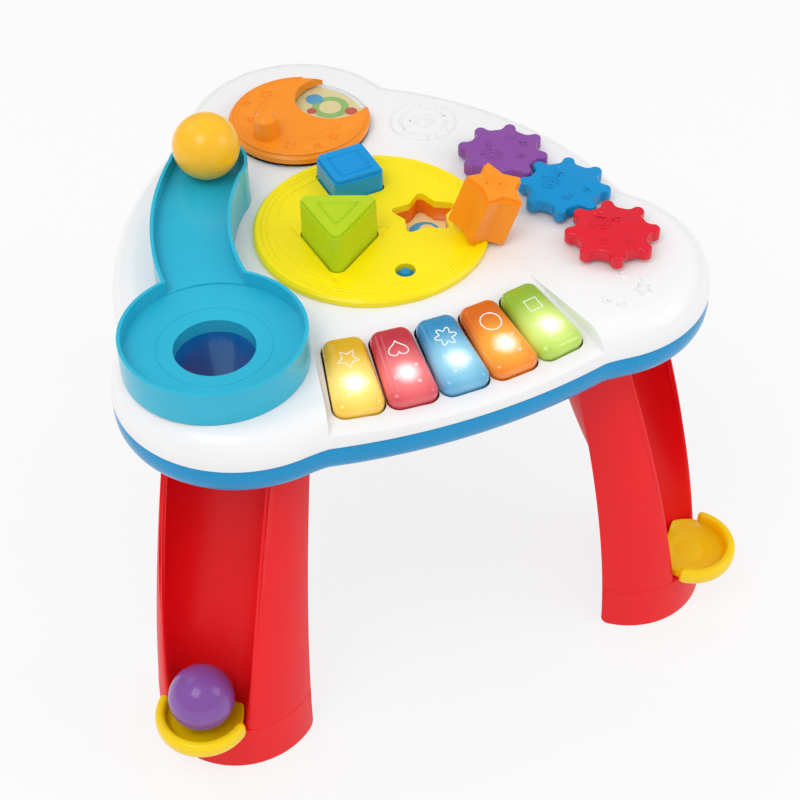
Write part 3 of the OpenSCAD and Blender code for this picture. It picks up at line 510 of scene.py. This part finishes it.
def heartPoints(size):
    return [(size * (16 * math.sin(t) ** 3) / 16,
             size * (13 * math.cos(t) - 5 * math.cos(2 * t) - 2 * math.cos(3 * t) - math.cos(4 * t)) / 16)
            for t in (2 * math.pi * k / 40 for k in range(40))]


def flowerPoints(size):
    points = []
    for k in range(60):
        t = 2 * math.pi * k / 60
        reach = size * (0.78 + 0.22 * math.cos(6 * t))
        points.append((reach * math.cos(t), reach * math.sin(t)))
    return points


keyPrint = {"key_yellow": [p[:2] for p in starPoints(0, 0, 0, 8, 0.5, 90)],
            "key_red": heartPoints(7), "key_blue": flowerPoints(8),
            "key_orange": [p[:2] for p in circlePoints(0, 0, 0, 7.5)],
            "key_green": [around((0, 0), a, 7) for a in (45, 135, 225, 315)]}

for i, (name, (colour, glowColour)) in enumerate(keyLook.items()):
    place = keyMatrix(i)
    piece = ringSolid(name + "_cap", [[place @ Vector(p) for p in keyRing(grow, z)] for grow, z in keyRings()])
    material = litKeyPlastic(name + "GlowPolystyrene", colour, glowColour, place @ Vector(keyCap["lamp"]))
    finishPiece(piece, name, material, 50, [name])
    deselect()
    bpy.ops.mesh.primitive_cube_add(size=1, location=(0, 0, 0))
    arm = bpy.context.object                       # hinge arm behind the cap, down to the pin
    arm.name = name + "_arm"
    arm.matrix_world = place @ Matrix.Translation(keyCap["armAt"]) @ Matrix.Diagonal((*keyCap["armSize"], 1))
    softEdges(arm, 0.8)
    applyAll(arm)
    finishPiece(arm, name, material)
    top = keyFan["height"] - 0.05
    bead(name + "_print", [(keyCap["printAt"] + y, x, top) for x, y in keyPrint[name]], keyCap["printInk"], name,
         "keyWhiteInk", name + "_plastic", True, place)
    for k, (x, y, size) in enumerate(keyCap["stars"]):
        bead(name + "_star_%d" % k, starPoints(x, y if i % 2 else -y, top, size, 0.45, 20 * i), keyCap["starInk"],
             name, "keyWhiteInk", name + "_plastic", True, place)
print("keys made")


# gears

gearForm = {"tip": 35, "root": 27, "tooth": 4.9, "fillet": 5.5, "filletSteps": 6, "tipStep": 15, "gap": (0.33, 0.67),
            "teeth": 8, "low": topHeight + 3, "high": topHeight + 13,
            "pitch": 63, "blueTurn": 12, "dimpleReach": 17.5, "dimple": 7.0, "dimpleRise": 5.0,
            "steps": [(0.8, 0), (0, 0.8), (0, 8.1), (0.35, 9.1), (1.0, 9.75), (1.9, 10)],
            "axle": 5, "axleFrom": -8.3, "boss": 9, "bossFrom": -2.5, "bore": 5.06, "boreFrom": 300, "boreTo": 360,
            "swirls": ((0, 11, 8.5, 1.9), (100, 16, 3.8, 1.4), (160, 18, 3.0, 1.4), (285, 12, 3.6, 1.4))}
purplePlace = Vector((124.4, 36.3))


def stepFrom(place, angle):
    return place + gearForm["pitch"] * Vector((math.cos(math.radians(angle)), math.sin(math.radians(angle))))


bluePlace = stepFrom(purplePlace, -68.2)
redPlace = stepFrom(bluePlace, -83.3)


def meshedTurn(place):
    away = place - bluePlace
    return 2 * math.degrees(math.atan2(away.y, away.x)) + 180 / gearForm["teeth"] - gearForm["blueTurn"]


def gearOutline(inset):
    # round tooth tips, straight flanks and a fillet down to the root circle
    half, root, fillet = gearForm["tooth"] - inset, gearForm["root"] - inset, gearForm["fillet"] + inset
    along = math.sqrt((root + fillet) ** 2 - (half + fillet) ** 2)
    foot = math.atan2(half + fillet, along)
    side = []
    for k in range(gearForm["filletSteps"] + 1):
        a = foot + (math.pi / 2 - foot) * k / gearForm["filletSteps"]
        side.append(((root + fillet) * math.cos(foot) - fillet * math.cos(a),
                     (root + fillet) * math.sin(foot) - fillet * math.sin(a)))
    tip = gearForm["tip"] - inset - half
    tooth = [(x, -y) for x, y in side] + [(tip + half * math.cos(math.radians(a)), half * math.sin(math.radians(a)))
                                          for a in range(-90, 91, gearForm["tipStep"])] + side[::-1]
    points = []
    for k in range(gearForm["teeth"]):
        a = 2 * math.pi * k / gearForm["teeth"]
        points += [(x * math.cos(a) - y * math.sin(a), x * math.sin(a) + y * math.cos(a)) for x, y in tooth]
        gap = [foot + (2 * math.pi / gearForm["teeth"] - 2 * foot) * t for t in gearForm["gap"]]
        points += [(root * math.cos(a + b), root * math.sin(a + b)) for b in gap]
    return points


# place, turn, finish, record slot, where the swirls start and where the finger dimple is
gearLook = {"gear_purple": (purplePlace, meshedTurn(purplePlace), "gearPurpleAbs", "purple_plastic", 200, 44),
            "gear_blue": (bluePlace, gearForm["blueTurn"], "gearBlueAbs", "blue_plastic", 150, 82),
            "gear_red": (redPlace, meshedTurn(redPlace), "gearRedAbs", "red_gear_plastic", 120, 96)}
for name, (place, turn, material, slot, look, dimpleAngle) in gearLook.items():
    upright = Matrix.Translation(spot(*place, 0)) @ Matrix.Rotation(math.radians(turn), 4, "Z") @ Matrix.Scale(mm, 4)
    low, high = gearForm["low"], gearForm["high"]
    piece = ringSolid(name + "_wheel", [[upright @ Vector((x, y, low + rise)) for x, y in gearOutline(inset)]
                                        for inset, rise in gearForm["steps"]])
    bpy.ops.mesh.primitive_uv_sphere_add(
        segments=48, ring_count=32, radius=gearForm["dimple"] * mm,
        location=spot(*around(place, dimpleAngle, gearForm["dimpleReach"]), high + gearForm["dimpleRise"]))
    cutAway(piece, bpy.context.object)
    finishPiece(piece, name, material, 40, [name])
    axle = rod(name + "_axle", *place, topHeight + gearForm["axleFrom"], low + 0.2, gearForm["axle"], 48)
    finishPiece(axle, name, material)
    boss = rod(name + "_boss", *place, topHeight + gearForm["bossFrom"], low - 0.3, gearForm["boss"], 64)
    cutAway(boss, rod("bore", *place, gearForm["boreFrom"], gearForm["boreTo"], gearForm["bore"], 48))
    softEdges(boss, 0.5, 2)
    applyAll(boss)
    finishPiece(boss, "table", "shellWhiteAbs")
print("gears made")


# legs and cups

leg = {"names": ("left", "right", "back"), "reach": 160, "centres": (-147, -33, 90), "noses": (-137, -43, 90),
       "height": 278, "foot": 51, "head": 6, "bend": 1.7, "radius": 63, "radiusTop": 54, "taper": 1.2, "wall": 3,
       "deck": 39.7, "footRows": (0, 0.5, 1.3, 2.6, 4.2, 6, 12, 20, 30, 39.7), "deckRows": (39.8, 43, 47, 53, 60),
       "upperRows": 24, "half": 92, "corner": 6, "ridge": 30.0, "ridgeSpread": 13,
       "grooveTop": -23, "grooveRun": 100, "grooveBend": 1.5,
       "cupHeight": 40, "cupReach": 104, "slopeTo": 60, "slopeRun": 14, "sidePoints": 26, "middlePoints": 40,
       "softSteps": 9}


def legMatrix(i):
    # x runs out along the leg's nose
    a, nose = math.radians(leg["centres"][i]), math.radians(leg["noses"][i])
    return (Matrix.Translation(spot(leg["reach"] * math.cos(a), leg["reach"] * math.sin(a), 0))
            @ Matrix.Rotation(nose, 4, "Z") @ Matrix.Scale(mm, 4))


def legCentre(z):
    return leg["head"] + (leg["foot"] - leg["head"]) * (1 - (z / leg["height"]) ** leg["bend"])


def legRadius(z):
    return leg["radius"] + (leg["radiusTop"] - leg["radius"]) * (z / leg["height"]) ** leg["taper"]


def arcPoints(centre, radius, start, end, count):
    return [around((centre, 0), start + (end - start) * k / count, radius) for k in range(count + 1)]


def legLine(z, grooved):
    # the nose's round wall, with the ball's groove let into it above the cup
    centre, radius = legCentre(z), legRadius(z)
    ridge = leg["ridge"] + leg["ridgeSpread"] * z / leg["height"]
    half = leg["half"]
    if z < leg["corner"]:
        half -= math.degrees((leg["corner"] - math.sqrt(leg["corner"] ** 2 - (leg["corner"] - z) ** 2)) / radius)
    line = arcPoints(centre, radius, -half, -ridge, leg["sidePoints"])
    if not grooved:
        return line + arcPoints(centre, radius, -ridge, ridge, leg["middlePoints"])[1:-1] + arcPoints(
            centre, radius, ridge, half, leg["sidePoints"])
    share = 1 - (z - leg["cupHeight"]) / (leg["height"] - leg["cupHeight"])
    back = leg["grooveTop"] + leg["grooveRun"] * max(0, share) ** leg["grooveBend"]
    s, h = centre + radius * math.cos(math.radians(ridge)), radius * math.sin(math.radians(ridge))
    middle = (s * s + h * h - back * back) / (2 * (s - back))
    turn = math.degrees(math.atan2(h, s - middle))
    line += arcPoints(middle, middle - back, 360 - turn, turn, leg["middlePoints"])[1:-1] + arcPoints(
        centre, radius, ridge, half, leg["sidePoints"])
    for _ in range(leg["softSteps"]):
        line = [line[0]] + [((a[0] + 2 * b[0] + c[0]) / 4, (a[1] + 2 * b[1] + c[1]) / 4)
                            for a, b, c in zip(line, line[1:], line[2:])] + [line[-1]]
    return line


def legRing(z, grooved):
    outer = legLine(z, grooved)
    if grooved:   # the inner wall starts a wall's thickness lower, which fades out up to slopeTo
        low = z - leg["wall"] * max(0, min(1, (leg["slopeTo"] - z) / leg["slopeRun"]))
    else:
        low = min(z, leg["deck"] - leg["wall"])
    inner = []
    for k, (x, y) in enumerate(outer):
        a, b = outer[max(0, k - 1)], outer[min(len(outer) - 1, k + 1)]
        along = Vector((b[0] - a[0], b[1] - a[1])).normalized()
        inner.append((x - leg["wall"] * along.y, y + leg["wall"] * along.x, low))
    return [(x, y, z) for x, y in outer] + inner[::-1]


legRings = [legRing(z, False) for z in leg["footRows"]]
legRings += [legRing(z, True) for z in leg["deckRows"]]
legRings += [legRing(leg["slopeTo"] + (leg["height"] - leg["slopeTo"]) * k / leg["upperRows"], True)
             for k in range(1, leg["upperRows"] + 1)]

# the dish runs from its outer foot up to the rim and down into the round recess
cup = {"middle": 32.6, "width": 8.6, "low": 40, "high": 54, "sweep": 84, "squareness": 2.6, "sides": 32,
       "ends": [(4.1, 0.3), (3.7, 0.62), (2.8, 0.84), (1.4, 0.96)], "clip": 20, "dishSides": 72,
       "dish": [(29, 40.2), (30.2, 40.8), (30.3, 47), (29.6, 47.1), (27.6, 45), (24.5, 42.9), (13.4, 42.4),
                (12.3, 41.7), (11.3, 41.6), (0.5, 41.6)]}


def cupRings():
    # the ring goes round the ball's front and butts on the leg's ridges with round ends
    stations = [(math.radians(-cup["sweep"]), far, size) for far, size in cup["ends"]]
    stations += [(math.radians(a), 0, 1.0) for a in range(-cup["sweep"], cup["sweep"] + 1, 4)]
    stations += [(math.radians(cup["sweep"]), far, size) for far, size in reversed(cup["ends"])]
    rings = []
    for a, far, size in stations:
        way = math.copysign(1, a)
        x = leg["cupReach"] + cup["middle"] * math.cos(a) - way * far * math.sin(a)
        y = cup["middle"] * math.sin(a) + way * far * math.cos(a)
        middle, rise = (cup["low"] + cup["high"]) / 2, (cup["high"] - cup["low"]) / 2
        ring = []
        for k in range(cup["sides"]):
            c, d = math.cos(2 * math.pi * k / cup["sides"]), math.sin(2 * math.pi * k / cup["sides"])
            across = cup["width"] / 2 * math.copysign(abs(c) ** (2 / cup["squareness"]), c) * size
            up = rise * math.copysign(abs(d) ** (2 / cup["squareness"]), d) * (0.5 + size / 2)
            ring.append((x + across * math.cos(a), y + across * math.sin(a), middle + up))
        rings.append(ring)
    return rings


def dishRings():
    rings = []
    for radius, z in cup["dish"]:
        ring = []
        for k in range(cup["dishSides"]):
            c, d = around((0, 0), 360 * k / cup["dishSides"], 1)
            reach = min(radius, cup["clip"] / abs(c)) if c < -0.01 else radius
            ring.append((leg["cupReach"] + reach * c, reach * d, z))
        rings.append(ring)
    return rings


for i, side in enumerate(leg["names"]):
    place = legMatrix(i)
    for name, rings, material, slot, angle, swaps in (
            ("leg_%s_form" % side, legRings, "legRedPolypropylene", "red_plastic", 50, ["leg_" + side]),
            ("cup_%s_ring" % side, cupRings(), "cupYellowPolypropylene", "yellow_plastic", 60, ["cup_" + side]),
            ("cup_%s_dish" % side, dishRings(), "cupYellowPolypropylene", "yellow_plastic", 40, [])):
        piece = ringSolid(name, [[place @ Vector(p) for p in ring] for ring in rings])
        finishPiece(piece, "table", material, angle, swaps)
print("legs and cups made")


# carried-over pieces

# finish, edge width in mm, steps in the edge, and the angle from which an edge is softened
carriedOver = {
    "ball_ramp": ("rampTealAbs", 1.1, 3, 32),
    "drop_chute": ("chuteBlueAbs",),
    "sorter_disc": ("discYellowAbs", 0.8, 3, 25),
    "square_well": ("wellBlueAbs",),
    "triangle_well": ("wellGreenAbs",),
    "star_well": ("wellOrangeAbs",),
    "star_card": ("cardCreamPrint",),
    "sorter_button": ("rimBlueAbs", 0.3),
    "button_cup": ("discYellowAbs",),
    "moon_dial": ("dialOrangeAbs", 1.4, 4, 20),
    "dial_window": ("windowClearPolycarbonate", 0.3),
    "picture_card": ("cardCreamPrint",),
    "button_spring": ("screwPlatedSteel",),
    "dial_clip": ("screwPlatedSteel", 0.2, 2),
    "clip_purple": ("screwPlatedSteel", 0.2, 2),
    "clip_blue": ("screwPlatedSteel", 0.2, 2),
    "clip_red": ("screwPlatedSteel", 0.2, 2),
    "key_pins": ("screwPlatedSteel", 0.2, 2),
    "battery_contacts": ("screwPlatedSteel", 0.2, 2),
    "door_screw": ("screwPlatedSteel", 0.2, 2),
    "case_screws": ("screwPlatedSteel", 0.2, 2),
    "key_frame": ("framePalePolystyrene", 0.3, 2),
    "power_switch": ("framePalePolystyrene", 0.4, 2),
    "contact_strip": ("domeGreyRubber", 0.3, 2),
    "key_lamps": ("lampWhiteAcrylic",),
    "circuit_board": ("boardGreenEpoxy", 0.1, 2),
    "speaker": ("speakerBlackAbs", 0.4, 2),
    "switch_body": ("speakerBlackAbs", 0.4, 2),
    "wires": ("speakerBlackAbs",),
    "battery_box": ("rimBlueAbs", 0.4, 2),
    "battery_door": ("rimBlueAbs", 0.4, 2),
    "battery_cells": ("cellWrapVinyl", 0.5, 2),
    "leg_plates": ("legRedPolypropylene", 0.4, 2),
    "ball_yellow": ("ballAmberPolyethylene",),
    "ball_purple": ("ballPurplePolyethylene",),
    "block_square": ("blockBluePolypropylene", 2.6, 4, 30),
    "block_triangle": ("blockGreenPolypropylene", 2.6, 4, 30),
    "block_star": ("blockOrangePolypropylene", 1.2, 4, 25),
}
for name, look in carriedOver.items():
    dressNode(name, *look)
print("carried-over pieces dressed")


# raised mouldings

discTop = discHigh.z / mm
discLine = ("table", "discYellowAbs", "yellow_plastic")
discRelief = {"rings": (81, 77.5), "waves": ((71, 172, 225), (66.5, 176, 219), (71, 236, 300), (71, 100, 150)),
              "waveRise": 1.3, "waveCount": 9, "triangleAt": (-31, -13), "triangleReach": 42, "corners": (6, 126, 246)}
for k, radius in enumerate(discRelief["rings"]):
    bead("disc_ring_%d" % k, circlePoints(0, 0, discTop - 0.25, radius, 96), 0.9, *discLine)
for k, (radius, low, high) in enumerate(discRelief["waves"]):
    wave = []
    for a in range(low, high, 3):
        reach = radius + discRelief["waveRise"] * math.sin(math.radians(discRelief["waveCount"] * a))
        wave.append((*around((0, 0), a, reach), discTop - 0.15))
    bead("disc_wave_%d" % k, wave, 0.8, *discLine, False)
border = [(*around(discRelief["triangleAt"], a, discRelief["triangleReach"]), discTop - 0.2)
          for a in discRelief["corners"]]
bead("triangle_border", border, 1.0, *discLine)

bowlLine = {"radius": 40, "inner": 28.5, "low": 341, "rise": 4 / 34}
bowlHeight = bowlLine["low"] + bowlLine["rise"] * (bowlLine["radius"] - bowlLine["inner"])
bead("bowl_line", circlePoints(*holePlace, bowlHeight, bowlLine["radius"], 96), 0.35,
     "table", "rampTealAbs", "teal_plastic")

for name, (place, turn, material, slot, look, dimpleAngle) in gearLook.items():
    for k, (a, r, size, turns) in enumerate(gearForm["swirls"]):
        swirl = spiralPoints(*around(place, look + a, r), gearForm["high"], size * 0.18, size, turns, look + a)
        bead("%s_swirl_%d" % (name, k), swirl, 0.85, name, material, slot, False)


def printedSpot(name, place, low, high, size, sides, ink):
    piece = rod(name, *place, low, high, size, sides)
    softEdges(piece, 0.05, 1)
    applyAll(piece)
    finishPiece(piece, "table", ink)


# stars are angle, reach and size; lines are reach and two angles; spots are angle, reach, size and ink
dialRelief = {"stars": ((110, 40, 5.5), (135, 46, 3.2), (165, 38, 4.2), (240, 42, 5.0), (268, 45, 3.4), (290, 41, 4.6)),
              "lines": ((30, 95, 318), (35, 90, 322), (49, 70, 330), (53, 66, 338)),
              "spots": ((21, 33, 15, "cardGreenPrint"), (21, 33, 9, "cardCreamPrint"), (50, 36, 7, "cardBluePrint"),
                        (0, 44, 5, "cardRedPrint"), (40, 20, 4, "cardRedPrint"))}
dialLine = ("dial", "dialOrangeAbs", "orange_plastic")
dialPlace = (-1, 147)
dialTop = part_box("dial_window")[1].z / mm + 7
for k, (a, r, size) in enumerate(dialRelief["stars"]):
    bead("dial_star_%d" % k, starPoints(*around(dialPlace, a, r), dialTop - 0.1, size, 0.5, a), 0.8, *dialLine)
for k, (radius, low, high) in enumerate(dialRelief["lines"]):
    arc = [(*around(dialPlace, a, radius), dialTop - 0.25) for a in range(low, high, 4)]
    bead("dial_line_%d" % k, arc, 0.75, *dialLine, False)
for k, (a, r, size, ink) in enumerate(dialRelief["spots"]):
    printedSpot("card_spot_%d" % k, around(dialPlace, a, r), topHeight + 0.55, topHeight + 0.66 + 0.04 * k,
                size, 48, ink)
starCard = {"place": (41, -4), "low": 318.3, "high": 318.5,
            "spots": ((0, 0, 12, "cardBluePrint"), (3, 2, 6, "cardCreamPrint"), (-6, -3, 3, "cardRedPrint"))}
for k, (x, y, size, ink) in enumerate(starCard["spots"]):
    place = (starCard["place"][0] + x, starCard["place"][1] + y)
    printedSpot("star_spot_%d" % k, place, starCard["low"], starCard["high"] + 0.05 * k, size, 40, ink)

# the play top's own embossing: a ringed spiral with arcs and bubbles, small spirals and a star
shellLine = ("table", "shellWhiteAbs", "white_plastic")
shellRelief = {"swirl": (91, 112), "ring": 26, "arcReach": 18, "arcs": ((-150, -20), (0, 60), (100, 190)),
               "bubbles": ((-95, 22, 3.6), (-60, 21, 2.6), (30, 22, 2.8), (80, 21, 2.4), (205, 21, 3.2)),
               "curls": ((121, -142, 4.5), (129, -150, 3.6), (158, -130, 3.4), (146, -120, 2.8)), "star": (151, -141)}
reliefZ = topHeight - 0.1
bead("top_ring", circlePoints(*shellRelief["swirl"], topHeight - 0.15, shellRelief["ring"], 80), 0.9, *shellLine)
bead("top_spiral", spiralPoints(*shellRelief["swirl"], reliefZ, 2, 10.5, 1.9, 200), 1.1, *shellLine, False)
for k, (low, high) in enumerate(shellRelief["arcs"]):
    arc = [(*around(shellRelief["swirl"], a, shellRelief["arcReach"]), reliefZ) for a in range(low, high + 1, 5)]
    bead("top_arc_%d" % k, arc, 1.1, *shellLine, False)
for k, (a, r, size) in enumerate(shellRelief["bubbles"]):
    bubble = circlePoints(*around(shellRelief["swirl"], a, r), reliefZ, size, 24)
    bead("top_bubble_%d" % k, bubble, 0.9, *shellLine)
for k, (x, y, size) in enumerate(shellRelief["curls"]):
    bead("top_curl_%d" % k, spiralPoints(x, y, reliefZ, 0.8, size, 1.3, 60 * k), 0.8, *shellLine, False)
bead("top_star", starPoints(*shellRelief["star"], reliefZ, 6.5, 0.5, 20), 0.9, *shellLine)

# place, corners, turn, reach, finish and record slot of the raised outline on each block
blockTops = {"block_square": ((5, 54.5), 4, 48, 17, "blockBluePolypropylene", "block_blue_plastic"),
             "block_triangle": ((-31, -13), 3, 6, 17, "blockGreenPolypropylene", "green_plastic")}
for name, (place, corners, turn, size, material, slot) in blockTops.items():
    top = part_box(name)[1].z / mm - 0.2
    outline = [(*around(place, turn + 360 * k / corners, size), top) for k in range(corners)]
    bead(name + "_outline", outline, 1.1, name, material, slot)
leaning = {"foot": (70, -37), "lift": 0.8, "tip": 24, "lean": 18, "turn": -31, "loopHeight": 41.8}
leanPlace = (Matrix.Translation(spot(*leaning["foot"], topHeight + leaning["lift"]
                                     + leaning["tip"] * math.sin(math.radians(leaning["lean"]))))
             @ Matrix.Rotation(math.radians(leaning["turn"]), 4, "Z")
             @ Matrix.Rotation(math.radians(leaning["lean"]), 4, "Y") @ Matrix.Scale(mm, 4))
bead("block_star_loop", spiralPoints(0, 0, leaning["loopHeight"], 2, 9, 1.6), 1.0, "block_star",
     "blockOrangePolypropylene", "orange_plastic", False, leanPlace)
print("mouldings made")


# studio

deselect()
bpy.ops.mesh.primitive_plane_add(size=12, location=(0, 0, 0))
floor = bpy.context.object
floor.name = "studio_floor"
floorMaterial = newMaterial("studioPaper")
tree = floorMaterial.node_tree
paper = addNode(tree, "ShaderNodeBsdfDiffuse", {"Color": (0.86, 0.86, 0.86, 1)})
white = addNode(tree, "ShaderNodeEmission", {"Color": (1, 1, 1, 1), "Strength": 1.0})
rays = addNode(tree, "ShaderNodeLightPath")
seen = addNode(tree, "ShaderNodeMath", links={0: rays.outputs["Is Camera Ray"], 1: rays.outputs["Is Glossy Ray"]},
               operation="MAXIMUM")
part = addNode(tree, "ShaderNodeMath", {1: 0.78}, {0: seen.outputs["Value"]}, operation="MULTIPLY")
mixed = addNode(tree, "ShaderNodeMixShader",
                links={"Fac": part.outputs["Value"], 1: paper.outputs["BSDF"], 2: white.outputs["Emission"]})
addNode(tree, "ShaderNodeOutputMaterial", links={"Surface": mixed.outputs["Shader"]})
floor.data.materials.append(floorMaterial)

world = bpy.data.worlds.new("studioWorld")
bpy.context.scene.world = world
world.use_nodes = True
tree = world.node_tree
tree.nodes.clear()
rays = addNode(tree, "ShaderNodeLightPath")
first = addNode(tree, "ShaderNodeMath", operation="MAXIMUM",
                links={0: rays.outputs["Is Camera Ray"], 1: rays.outputs["Is Transmission Ray"]})
dim = addNode(tree, "ShaderNodeMapRange", {"To Min": 0.79, "To Max": 0.26}, {"Value": rays.outputs["Is Glossy Ray"]})
level = addNode(tree, "ShaderNodeMapRange", {"To Max": 1.0},
                {"Value": first.outputs["Value"], "To Min": dim.outputs["Result"]})
sky = addNode(tree, "ShaderNodeBackground", {"Color": (1, 1, 1, 1)}, {"Strength": level.outputs["Result"]})
addNode(tree, "ShaderNodeOutputWorld", links={"Surface": sky.outputs["Background"]})

lamps = {"keySoftbox": ((-0.9, -0.7, 1.9), 1.0, 10.3), "fillSoftbox": ((1.3, -0.9, 1.2), 0.9, 4.9),
         "backSoftbox": ((-0.9, 1.2, 1.9), 0.9, 2.5)}
aim = Vector((0, 0, 0.25))
for name, (place, size, power) in lamps.items():
    deselect()
    bpy.ops.object.light_add(type="AREA", location=place)
    lamp = bpy.context.object
    lamp.name = name
    lamp.data.size = size
    lamp.data.energy = power
    lamp.rotation_euler = (aim - Vector(place)).to_track_quat("-Z", "Y").to_euler()

# the camera stands where the photograph was taken from
view = {"focal": 81.0, "sensor": 36.0, "place": (-383.0, -978.4, 1159.6), "heading": 22.4, "pitch": 43.693,
        "roll": -1.055}
deselect()
bpy.ops.object.camera_add(location=spot(*view["place"]))
camera = bpy.context.object
camera.data.lens = view["focal"]
camera.data.sensor_width = view["sensor"]
heading, pitch = math.radians(view["heading"]), math.radians(view["pitch"])
forward = Vector((math.sin(heading) * math.cos(pitch), math.cos(heading) * math.cos(pitch), -math.sin(pitch)))
camera.rotation_mode = "QUATERNION"
roll = Matrix.Rotation(math.radians(view["roll"]), 3, "Z").to_quaternion()
camera.rotation_quaternion = forward.to_track_quat("-Z", "Y") @ roll
bpy.context.scene.camera = camera
bpy.context.scene.view_settings.view_transform = "Standard"
